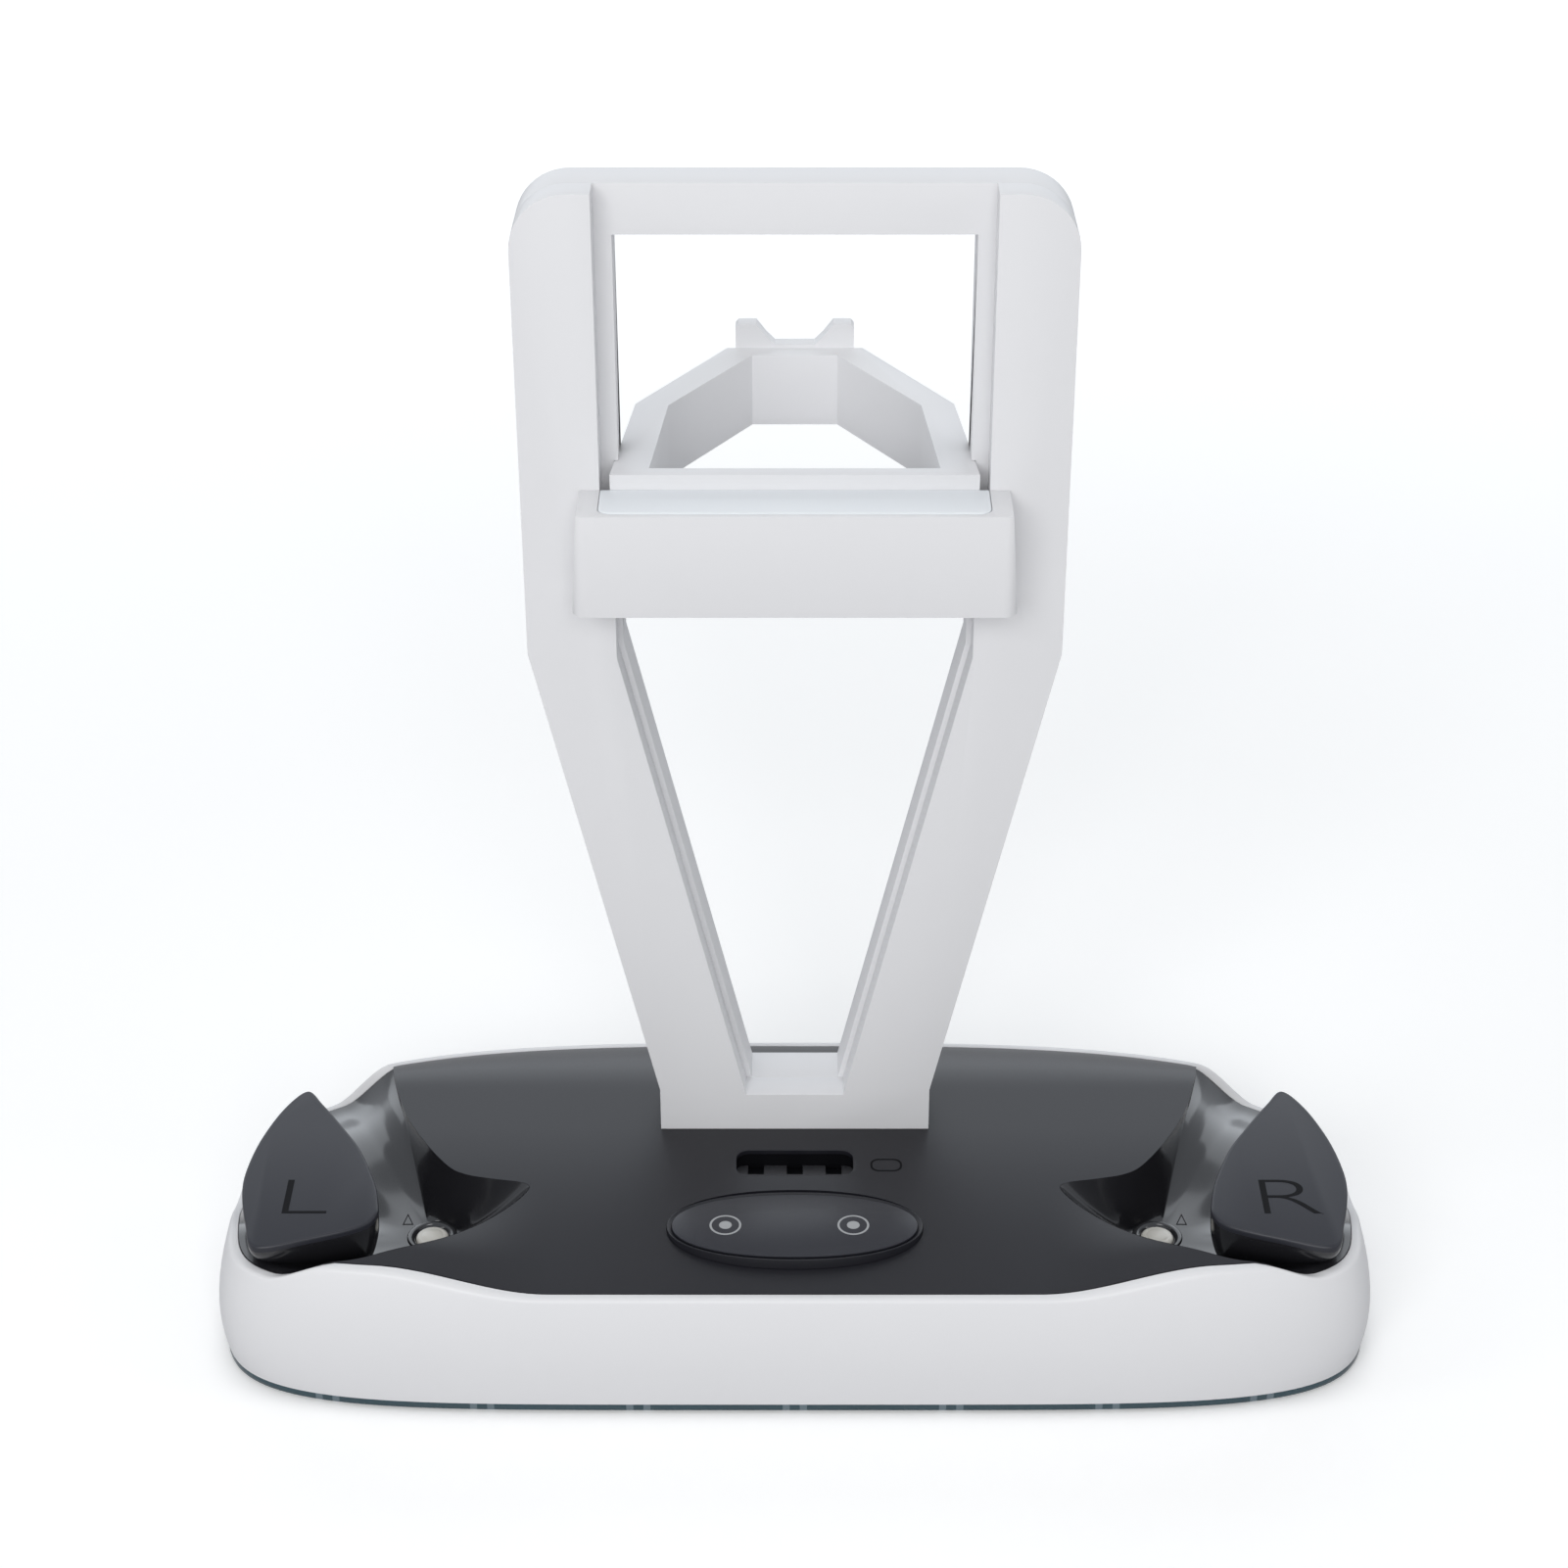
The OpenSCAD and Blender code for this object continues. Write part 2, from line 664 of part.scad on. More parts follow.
// Oval cup that carries the touch panel
bezel_base_t = 2;
panel_t = 1.6;
bezel_h = 8;
module touch_bezel() {
    color([0.11, 0.11, 0.12])
        placed()
            translate([0, oval_y, oval_z - bezel_h])
                difference() {
                    linear_extrude(bezel_h) polygon(oval_points(oval_w, oval_d));
                    translate([0, 0, bezel_h - panel_t])
                        linear_extrude(panel_t + 1)
                            polygon(oval_points(oval_w - 2 * bezel_w, oval_d - 2 * bezel_w));
                    translate([0, 0, -1])
                        linear_extrude(bezel_h - panel_t - bezel_base_t + 1)
                            polygon(oval_points(oval_w - 6 * bezel_w, oval_d - 6 * bezel_w));
                }
}

// Touch panel in the oval
module touch_panel() {
    color([0.17, 0.17, 0.19])
        placed()
            translate([0, oval_y, oval_z - panel_t])
                linear_extrude(panel_t)
                    polygon(oval_points(oval_w - 2 * bezel_w - 2 * fit, oval_d - 2 * bezel_w - 2 * fit));
}

// Touch board under the oval's floor
module touch_board() {
    color([0.1, 0.35, 0.2])
        placed()
            translate([0, oval_y, oval_z - panel_t - bezel_base_t - board_t]) rounded_box(40, 16, board_t, 2);
}

// Main board on the bottom cover's bosses
boss_h = 4;
main_board_w = 30;
main_board_t = 1.6;
main_board_front = back_y + 2;
main_board_back = half_d - 7;
module main_board() {
    color([0.1, 0.35, 0.2])
        placed()
            translate([0, (main_board_front + main_board_back) / 2, cover_z + boss_h])
                rounded_box(main_board_w, main_board_back - main_board_front, main_board_t, 1);
}

// Power inlet at the back, on the main board, its mouth in the shell's hole
inlet_w = 9;
inlet_h = 3.3;
inlet_l = 10;
inlet_wall = 0.4;
inlet_r = 1.5;
inlet_floor = 3;
inlet_z = cover_z + boss_h + main_board_t + inlet_h / 2;
module power_socket() {
    color([0.7, 0.71, 0.73])
        placed()
            translate([0, half_d - 1.2 - inlet_l, inlet_z])
                rotate([-90, 0, 0])
                    difference() {
                        rounded_box(inlet_w, inlet_h, inlet_l, inlet_r);
                        translate([0, 0, inlet_floor])
                            rounded_box(inlet_w - 2 * inlet_wall, inlet_h - 2 * inlet_wall,
                                inlet_l, inlet_r - inlet_wall);
                    }
}

// Steel weight on each side of the bottom cover
ballast_in = 62;
ballast_w = 56;
ballast_d = 60 * stretch;
ballast_t = 3;
module ballast() {
    translate([half_w - ballast_in, 0, cover_z]) rounded_box(ballast_w, ballast_d, ballast_t, 4);
}

module ballast_right() {
    color([0.5, 0.5, 0.52]) placed() ballast();
}

module ballast_left() {
    color([0.5, 0.5, 0.52]) placed() mirror([1, 0, 0]) ballast();
}

// Strip of light-emitting parts along the front of the bottom cover
strip_reach = half_w - 62;
strip_y = 9;
strip_w = 3;
strip_t = 0.6;
lamp_pitch = 10;
lamp_s = 2;
lamp_t = 1;
module light_strip() {
    lamps = floor((strip_reach - lamp_s) / lamp_pitch);
    color([0.9, 0.9, 0.85])
        placed()
            translate([0, -half_d + strip_y, cover_z])
                union() {
                    translate([-strip_reach, -strip_w / 2, 0]) cube([2 * strip_reach, strip_w, strip_t]);
                    for (k = [-lamps:lamps])
                        translate([k * lamp_pitch - lamp_s / 2, -lamp_s / 2, strip_t - small])
                            cube([lamp_s, lamp_s, lamp_t]);
                }
}

// Rubber feet under the light plate
module rubber_feet() {
    color([0.15, 0.15, 0.16])
        placed()
            for (p = feet_places, s = p[0] == 0 ? [1] : [-1, 1])
                translate([s * p[0], p[1], 0]) cylinder(h = feet_h, d = feet_d, $fn = 48);
}

// Clear plate under the whole base, with clearance holes for the screw heads
module light_plate() {
    color([0.16, 0.24, 0.27, 0.9])
        placed()
            difference() {
                outline_plate(feet_h, plate_t, 0);
                at_posts() cylinder(h = 20, d = screw_head_d + 1, $fn = 32);
                at_foot_screws() cylinder(h = 20, d = screw_head_d + 1, $fn = 32);
            }
}

module at_foot_screws() {
    for (x = [-1, 1], y = [-1, 1])
        translate([x * foot_w / 3, upright_y + (front_t + rear_t) / 2 + y * 6, 0]) children();
}

// Bottom cover with the upright's seat and the board's bosses
module bottom_cover() {
    color([0.85, 0.85, 0.87])
        placed()
            difference() {
                union() {
                    outline_plate(plate_z, cover_t, shell_t + fit);
                    translate([-foot_w / 2, upright_y, cover_z - small])
                        cube([foot_w, front_t + rear_t, tenon_z - cover_z + small]);
                    for (x = [-1, 1], y = [main_board_front + 4, main_board_back - 8])
                        translate([x * (main_board_w / 2 - 4), y, cover_z - small])
                            cylinder(h = boss_h + small, d = 4, $fn = 24);
                }
                at_posts() cylinder(h = 20, d = screw_d + 2 * fit, $fn = 24);
                at_foot_screws() cylinder(h = 20, d = screw_d + 2 * fit, $fn = 24);
            }
}

module screw(l) {
    translate([0, 0, -screw_head_t]) cylinder(h = screw_head_t, d = screw_head_d, $fn = 32);
    cylinder(h = l, d = screw_d, $fn = 24);
}

module base_screws() {
    color([0.55, 0.55, 0.58])
        placed()
            at_posts() translate([0, 0, plate_z]) screw(screw_l);
}

module foot_screws() {
    color([0.55, 0.55, 0.58])
        placed()
            at_foot_screws() translate([0, 0, plate_z]) screw(tenon_z - plate_z + 12);
}

// Outer profile of the upright: straight foot, slanting legs, upright sides, round head corners
module upright_profile(w_foot, w_head, z_low) {
    union() {
        polygon([
            [-w_foot / 2, z_low], [w_foot / 2, z_low], [w_foot / 2, foot_z], [w_head / 2, shoulder_z],
            [w_head / 2, upright_h - head_r], [w_head / 2 - head_r, upright_h],
            [-w_head / 2 + head_r, upright_h], [-w_head / 2, upright_h - head_r],
            [-w_head / 2, shoulder_z], [-w_foot / 2, foot_z]]);
        for (s = [-1, 1]) translate([s * (w_head / 2 - head_r), upright_h - head_r]) circle(head_r, $fn = 96);
    }
}

// Window: V-shaped below, straight above, up to a level
module window_profile(w_sill, w, z_top) {
    polygon([
        [-w_sill / 2, sill_z], [w_sill / 2, sill_z], [w / 2, shoulder_z - 1], [w / 2, z_top],
        [-w / 2, z_top], [-w / 2, shoulder_z - 1]]);
}

module standing(y, t) {
    translate([0, y + t, 0]) rotate([90, 0, 0]) linear_extrude(t) children();
}

ring_top = bar_z + ring_up;
ring_low = ring_top - ring_h;
seat_z = ring_low - fit;

// Front frame of the upright: open at the head, with a rebate that the ring sits in
module upright_front() {
    color([0.88, 0.885, 0.895])
        placed()
            difference() {
                standing(upright_y, front_t)
                    difference() {
                        upright_profile(foot_w, head_w, tenon_z);
                        window_profile(sill_w, window_w + 2 * window_step, upright_h + 1);
                        translate([-window_w / 2 - rebate_w + 0.5, seat_z])
                            square([window_w + 2 * rebate_w - 1, upright_h]);
                    }
                at_foot_screws() cylinder(h = tenon_z + 13, d = screw_d + 2 * fit, $fn = 24);
            }
}

// Rear frame of the upright, with the top rail
module upright_rear() {
    color([0.87, 0.875, 0.885])
        placed()
            difference() {
                standing(wall_z, rear_t)
                    difference() {
                        upright_profile(foot_w, head_w, tenon_z);
                        window_profile(sill_w - 2 * window_step, window_w, upright_h - rail_h);
                    }
                translate([0, 0, seat_z])
                    linear_extrude(ring_h + 2 * fit) polygon(ring_outer(upright_y, fit));
                at_foot_screws() cylinder(h = tenon_z + 13, d = screw_d + 2 * fit, $fn = 24);
            }
}

// Half-width of the ring beside the front face, so that its sides wedge in the rear frame's window
wedge_w = window_w - 2 * fit;
ring_slope = (wedge_w - bend_w) / (bend_l - front_t - rear_t);
ring_front_w = wedge_w + ring_slope * (front_t + rear_t);

function ring_outer(y_front, grow) = [
    [ring_front_w / 2 + grow, y_front],
    [bend_w / 2 + grow, upright_y + bend_l],
    [back_w / 2 + grow, ring_end],
    [-back_w / 2 - grow, ring_end],
    [-bend_w / 2 - grow, upright_y + bend_l],
    [-ring_front_w / 2 - grow, y_front]];
inner_front_w = ring_front_w - 2 * ring_t - 1.4;
inner_bend_w = bend_w - 2 * ring_t + 0.6;
inner_back_w = back_w - 2 * ring_t + 4;
ring_inner = [
    [inner_front_w / 2, upright_y + ring_front_t], [inner_bend_w / 2, upright_y + bend_l - 1],
    [inner_back_w / 2, ring_end - ring_back_t], [-inner_back_w / 2, ring_end - ring_back_t],
    [-inner_bend_w / 2, upright_y + bend_l - 1], [-inner_front_w / 2, upright_y + ring_front_t]];

bar_low = bar_z - bar_h;
bar_y = upright_y - fit - bar_d;

// Crossbar: drafted sides, rounded front corners
module crossbar() {
    intersection() {
        standing(bar_y, bar_d)
            polygon([
                [-bar_w / 2 - bar_draft, bar_low], [bar_w / 2 + bar_draft, bar_low],
                [bar_w / 2, bar_z], [-bar_w / 2, bar_z]]);
        translate([0, 0, bar_low - 1])
            linear_extrude(bar_h + 2)
                union() {
                    for (s = [-1, 1])
                        translate([s * (bar_w / 2 + bar_draft - bar_r), bar_y + bar_r])
                            circle(bar_r, $fn = 48);
                    translate([-bar_w / 2 - bar_draft + bar_r, bar_y])
                        square([bar_w + 2 * bar_draft - 2 * bar_r, bar_r]);
                    translate([-bar_w / 2 - bar_draft, bar_y + bar_r])
                        square([bar_w + 2 * bar_draft, bar_d - bar_r]);
                }
    }
}

// Two prongs with a rounded notch between them, on the ring's back wall
module prongs() {
    top = ring_top + prong_up;
    flat = 4.6;
    notch_r = 2.2;
    standing(ring_end - small, prong_t)
        difference() {
            polygon([
                [-prong_w / 2, ring_low + 4], [prong_w / 2, ring_low + 4], [prong_w / 2, top - 1],
                [prong_w / 2 - 0.8, top], [prong_w / 2 - 0.8 - flat, top],
                [notch_w / 2, ring_top + 0.8 + notch_r],
                [notch_w / 2 - notch_r, ring_top + 0.8], [-notch_w / 2 + notch_r, ring_top + 0.8],
                [-notch_w / 2, ring_top + 0.8 + notch_r],
                [-prong_w / 2 + 0.8 + flat, top], [-prong_w / 2 + 0.8, top], [-prong_w / 2, top - 1]]);
        }
}

module pad_outline(grow) {
    w = pad_w + 2 * grow;
    y0 = bar_y + pad_margin - grow;
    r = 3;
    union() {
        translate([-w / 2, y0 + r]) square([w, upright_y - y0 - r]);
        translate([-w / 2 + r, y0]) square([w - 2 * r, r]);
        for (s = [-1, 1]) translate([s * (w / 2 - r), y0 + r]) circle(r, $fn = 32);
    }
}

// Arm: crossbar in front of the upright, six-sided open ring through its window, two prongs behind
module arm_body() {
    color([0.88, 0.885, 0.895])
        placed()
            difference() {
                union() {
                    crossbar();
                    translate([0, 0, ring_low])
                        linear_extrude(ring_h)
                            difference() {
                                polygon(ring_outer(upright_y - small - fit, 0));
                                polygon(ring_inner);
                            }
                    prongs();
                }
                translate([0, 0, bar_z + pad_up - pad_t]) linear_extrude(30)
                    intersection() {
                        pad_outline(fit);
                        translate([-bar_w, bar_y - 1]) square([2 * bar_w, bar_d + 1]);
                    }
            }
}

// Soft pad on the crossbar
module arm_pad() {
    color([0.85, 0.87, 0.89])
        placed()
            translate([0, 0, bar_z + pad_up - pad_t])
                linear_extrude(pad_t)
                    intersection() {
                        pad_outline(0);
                        translate([-bar_w, bar_y - 1]) square([2 * bar_w, bar_d + 1 - fit]);
                    }
}

rubber_feet();
light_plate();
bottom_cover();
base_shell();
deck();
dock_left();
dock_right();
wing_wall_left();
wing_wall_right();
wing_pad_left();
wing_pad_right();
collar_left();
collar_right();
pin_left();
pin_right();
magnet_left();
magnet_right();
pin_board_left();
pin_board_right();
socket_block();
socket_board();
touch_bezel();
touch_panel();
touch_board();
main_board();
power_socket();
ballast_left();
ballast_right();
light_strip();
base_screws();
foot_screws();
upright_front();
upright_rear();
arm_body();
arm_pad();
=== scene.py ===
import math

import bmesh
import bpy
from mathutils import Matrix, Vector


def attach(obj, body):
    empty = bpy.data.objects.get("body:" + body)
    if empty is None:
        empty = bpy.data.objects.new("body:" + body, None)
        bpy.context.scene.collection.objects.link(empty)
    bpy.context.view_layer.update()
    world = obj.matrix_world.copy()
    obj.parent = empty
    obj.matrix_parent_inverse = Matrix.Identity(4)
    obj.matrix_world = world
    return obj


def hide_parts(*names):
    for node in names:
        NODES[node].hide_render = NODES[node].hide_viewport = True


bl_info = {
    "name": "Charging dock for a headset and two controllers",
    "version": (1, 0, 0),
    "blender": (4, 5, 0),
    "location": "View3D > Sidebar > Charging dock",
    "description": "Gives the packed charging dock its fine mouldings, finishes, marks, light and camera",
    "category": "Object",
}

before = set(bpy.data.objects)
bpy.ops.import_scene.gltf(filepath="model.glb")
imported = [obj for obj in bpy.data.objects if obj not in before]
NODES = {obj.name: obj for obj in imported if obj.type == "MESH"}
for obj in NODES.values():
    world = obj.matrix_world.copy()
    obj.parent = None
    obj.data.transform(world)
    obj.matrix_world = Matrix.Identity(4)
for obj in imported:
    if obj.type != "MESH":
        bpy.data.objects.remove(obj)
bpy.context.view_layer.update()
MM = 0.001

# Sizes of the base, in millimetres, measured from the middle of its footprint
BASE_W, BASE_D = 302.4, 126.0
HALF_W, HALF_D = BASE_W / 2, BASE_D / 2
BELLY_Z, PLATE_Z, FEET_H = 12.0, 3.0, 1.0
FRONT_SQUARE, RIM_SQUARE, REAR_SQUARE = 5.45, 7.0, 3.1
FOOT_DRAW, CROWN_DRAW = 0.7, 1.15
SHELL_T, LIP_W, LEDGE_W, LEDGE_DROP = 2.4, 2.2, 2.0, 1.2
DECK_T, FIT = 2.4, 0.15
RIM_FRONT, RIM_HIGH, RIM_SIDE, RIM_LOW, RIM_REAR = 34.1, 40.5, 35.8, 20.5, 31.5
DECK_Z = 40.0
UPRIGHT_Y, UPRIGHT_T, FOOT_W = 6.0, 20.0, 72.0
BACK_Y = UPRIGHT_Y + UPRIGHT_T
TAIL_Y = UPRIGHT_Y + 83.4 + 4.6
SHIFT_Y = (HALF_D - TAIL_Y) / 2
EDGE_IN = LIP_W + FIT
TRAY_W, TRAY_D, TRAY_R, RAMP_DROP = 31.0, 10.5, 3.4, 4.4
TRAY_Y = UPRIGHT_Y - 9.8 - TRAY_D / 2
SOCKET_S, SOCKET_PITCH = 4.3, 10.3
OVAL_W, OVAL_D, OVAL_Z = 66.0, 28.5, 38.6
OVAL_Y = UPRIGHT_Y - 40.4
BEZEL_W = 1.0
PIN_X, PIN_Y, PIN_D, PIN_UP = 95.8, -20.4, 8.6, 0.8
COLLAR_D, COLLAR_UP = 13.0, 0.3
FLOOR_Z, SADDLE_H = 24.0, 4.0
WING_FRONT_Z, WING_RISE, WING_PAD_T, WING_LEAN = 43.0, 4.0, 1.8, 4.0
INLET_W, INLET_H, INLET_Z = 9.0, 3.3, 12.45

DOCK_EDGE_MIDDLE = [
    (113, -51.6), (101, -47.8), (91, -42.8), (83, -36.2), (76, -28.8), (71.2, -22.6), (69.6, -18.8),
    (72, -16.9), (80, -15.4), (87, -13.6), (92, -10), (99, 0), (106, 14), (110.5, 30), (112.6, 42),
]
WING_OUTLINE = [
    (131.7, 13.8), (126.9, 8.3), (119.9, -1.9), (114.5, -10.8), (109.6, -22.8), (107.5, -31.2),
    (107.3, -36.5), (110.9, -41.1), (123.2, -45.7), (136.7, -49.0), (140.6, -39.4), (143.3, -27.0),
    (143.3, -17.4), (141.2, -5.4), (136.9, 6.9),
]
WING_MIDDLE = (126.0, -22.0)
WING_FRONT_Y = WING_OUTLINE[9][1]
WING_SLOPE = WING_RISE / (WING_OUTLINE[0][1] - WING_FRONT_Y)


def clamp(value, low=0.0, high=1.0):
    return min(high, max(low, value))


def smooth(t):
    c = clamp(t)
    return c * c * (3 - 2 * c)


def between(a, b, t):
    return a + (b - a) * t


def curve(points, steps, closed=False):
    """Points of a smooth curve through the given ones, with a number of steps between neighbours."""
    count = len(points)
    spans = count if closed else count - 1

    def at(i):
        return points[i % count] if closed else points[int(clamp(i, 0, count - 1))]

    out = []
    for i in range(spans):
        a, b, c, d = at(i - 1), at(i), at(i + 1), at(i + 2)
        for k in range(steps):
            t = k / steps
            out.append(tuple(
                0.5 * (2 * q + (r - p) * t + (2 * p - 5 * q + 4 * r - s) * t * t
                       + (3 * q - p - 3 * r + s) * t ** 3)
                for p, q, r, s in zip(a, b, c, d)))
    return out if closed else out + [points[-1]]


def draw_in(z):
    """How far the side of the base stands in at a level."""
    if z < BELLY_Z:
        return FOOT_DRAW * ((BELLY_Z - z) / (BELLY_Z - PLATE_Z)) ** 2
    return CROWN_DRAW * ((z - BELLY_Z) / BELLY_Z) ** 2


def square_at(z):
    return between(FRONT_SQUARE, RIM_SQUARE, clamp((z - PLATE_Z) / (RIM_SIDE - PLATE_Z)))


def outline_at(angle, z, inset):
    """Point of the base's outline at a level, in a direction in degrees, set in by a distance."""
    c, s = math.cos(math.radians(angle)), math.sin(math.radians(angle))
    a = HALF_W - draw_in(z) - inset
    b = HALF_D - draw_in(z) * (0.5 if z < BELLY_Z else 1) - inset
    n = square_at(z) if s < 0 else REAR_SQUARE
    dx, dy = HALF_W * c, HALF_D * s
    r = (abs(dx / a) ** n + abs(dy / b) ** n) ** (-1 / n)
    return r * dx, r * dy


def rim_along_front(x):
    return (RIM_FRONT + (RIM_HIGH - RIM_FRONT) * smooth((abs(x) - 62) / 44)
            - (RIM_HIGH - RIM_SIDE) * smooth((abs(x) - 115) / 17))


def rim_along_back(x):
    return RIM_REAR - (RIM_REAR - RIM_LOW) * smooth((abs(x) - 111) / 17)


def rim_over(x, y):
    fall = (RIM_SIDE - RIM_LOW) * smooth((y + 36) / 42)
    if y < 0:
        return rim_along_front(x) - fall
    return RIM_SIDE - fall if abs(x) > 128 else rim_along_back(x)


def rim_at(angle):
    """Height of the rim in a direction from the middle of the base."""
    z = BELLY_Z
    for _ in range(3):
        z = rim_over(*outline_at(angle, z, EDGE_IN))
    return z


def front_edge(x):
    z = rim_along_front(x)
    n = square_at(z)
    return -(HALF_D - draw_in(z) - EDGE_IN) * (1 - abs(x / (HALF_W - draw_in(z) - EDGE_IN)) ** n) ** (1 / n)


def back_edge(x):
    z, n = rim_along_back(x), REAR_SQUARE
    return (HALF_D - draw_in(z) - EDGE_IN) * (1 - abs(x / (HALF_W - draw_in(z) - EDGE_IN)) ** n) ** (1 / n)


def deck_at(x, y):
    """Height of the deck at a point."""
    if y < UPRIGHT_Y:
        fall = (DECK_Z - RIM_FRONT) * ((y - UPRIGHT_Y) / (front_edge(x) - UPRIGHT_Y)) ** 2
        return DECK_Z - fall + (rim_along_front(x) - RIM_FRONT) * smooth((-y - 18) / 30)
    if y < BACK_Y:
        return DECK_Z
    return DECK_Z - (DECK_Z - rim_along_back(x)) * min(1, (y - BACK_Y) / (back_edge(x) - BACK_Y)) ** 2


DOCK_EDGE = [(126, front_edge(126)), *DOCK_EDGE_MIDDLE, (113, back_edge(113))]
EDGE_LINE = curve(DOCK_EDGE, 8)


def deck_plan(row, across):
    """Point of the deck's plan: a row along the dock edges, and a place from -1 to 1 across it."""
    ex, ey = EDGE_LINE[row]
    x = across * ex
    w = (ey - DOCK_EDGE[0][1]) / (DOCK_EDGE[-1][1] - DOCK_EDGE[0][1])
    bow = between(front_edge(x) - front_edge(ex), back_edge(x) - back_edge(ex), w)
    return x, ey + bow


PIN_PLACE = (PIN_X, PIN_Y)
HOLE_R = COLLAR_D / 2 + FIT
FLAT_RIM = LEDGE_W + 0.6
RIM_TURN = 0.75


def dock_loop():
    """Points round a dock: along the deck's edge from back to front, then along the rim to the back."""
    loop = []
    for ex, ey in reversed(EDGE_LINE):
        d = Vector((PIN_X - ex, PIN_Y - ey)).normalized() * FIT
        loop.append((ex + d.x, ey + d.y, deck_at(ex, ey), 0.0))
    start = math.degrees(math.atan2(DOCK_EDGE[0][1] / HALF_D, DOCK_EDGE[0][0] / HALF_W))
    end = math.degrees(math.atan2(DOCK_EDGE[-1][1] / HALF_D, DOCK_EDGE[-1][0] / HALF_W))
    count = round((end - start) / RIM_TURN)
    for k in range(1, count):
        angle = between(start, end, k / count)
        x, y = outline_at(angle, rim_at(angle), EDGE_IN)
        loop.append((x, y, rim_at(angle), FLAT_RIM))
    return loop


DOCK_LOOP = dock_loop()


def dock_point(edge, f):
    """Point of the dock's surface, from the collar's hole (0) to a point of the loop (1)."""
    dx, dy = edge[0] - PIN_X, edge[1] - PIN_Y
    far = math.hypot(dx, dy)
    run = far - HOLE_R
    k = (HOLE_R + run * f) / far
    back = smooth((edge[1] - 2) / 30)
    climb = min(1.0, f * run / (run - edge[3])) ** between(1.35, 1.7, back)
    saddle = SADDLE_H * back * math.sin(math.pi * f ** 1.3) ** 2
    return PIN_X + dx * k, PIN_Y + dy * k, between(FLOOR_Z, edge[2], climb) + saddle


def dock_at(x, y):
    """Height of the dock's surface at a point of its plan."""
    dx, dy = x - PIN_X, y - PIN_Y
    count = len(DOCK_LOOP)
    for i in range(count):
        a, b = DOCK_LOOP[i], DOCK_LOOP[(i + 1) % count]
        ca = (a[0] - PIN_X) * dy - (a[1] - PIN_Y) * dx
        cb = dx * (b[1] - PIN_Y) - dy * (b[0] - PIN_X)
        if ca >= 0 and cb > 0:
            edge = [between(p, q, ca / (ca + cb)) for p, q in zip(a, b)]
            reach = math.hypot(edge[0] - PIN_X, edge[1] - PIN_Y)
            return dock_point(edge, (math.hypot(dx, dy) - HOLE_R) / (reach - HOLE_R))[2]
    raise ValueError(f"no dock surface at {x:.1f}, {y:.1f}")


def wing_at(y):
    return WING_FRONT_Z + WING_SLOPE * (y - WING_FRONT_Y)


def leaned(spot, inset):
    """A point of the wing's outline, moved toward the wing's middle."""
    dx, dy = spot[0] - WING_MIDDLE[0], spot[1] - WING_MIDDLE[1]
    k = 1 - inset / math.hypot(dx, dy)
    return WING_MIDDLE[0] + dx * k, WING_MIDDLE[1] + dy * k


class Value:
    """A number that varies over a surface, so that the maths on it reads as plain Python."""

    def __init__(self, finish, socket):
        self.finish, self.socket = finish, socket

    def _math(self, operation, a, b):
        return self.finish.add("ShaderNodeMath", {"operation": operation}, {0: a, 1: b})

    def __add__(self, other):
        return self._math("ADD", self, other)

    __radd__ = __add__

    def __sub__(self, other):
        return self._math("SUBTRACT", self, other)

    def __rsub__(self, other):
        return self._math("SUBTRACT", other, self)

    def __mul__(self, other):
        return self._math("MULTIPLY", self, other)

    __rmul__ = __mul__

    def __lt__(self, other):
        return self._math("LESS_THAN", self, other)

    def __gt__(self, other):
        return self._math("GREATER_THAN", self, other)


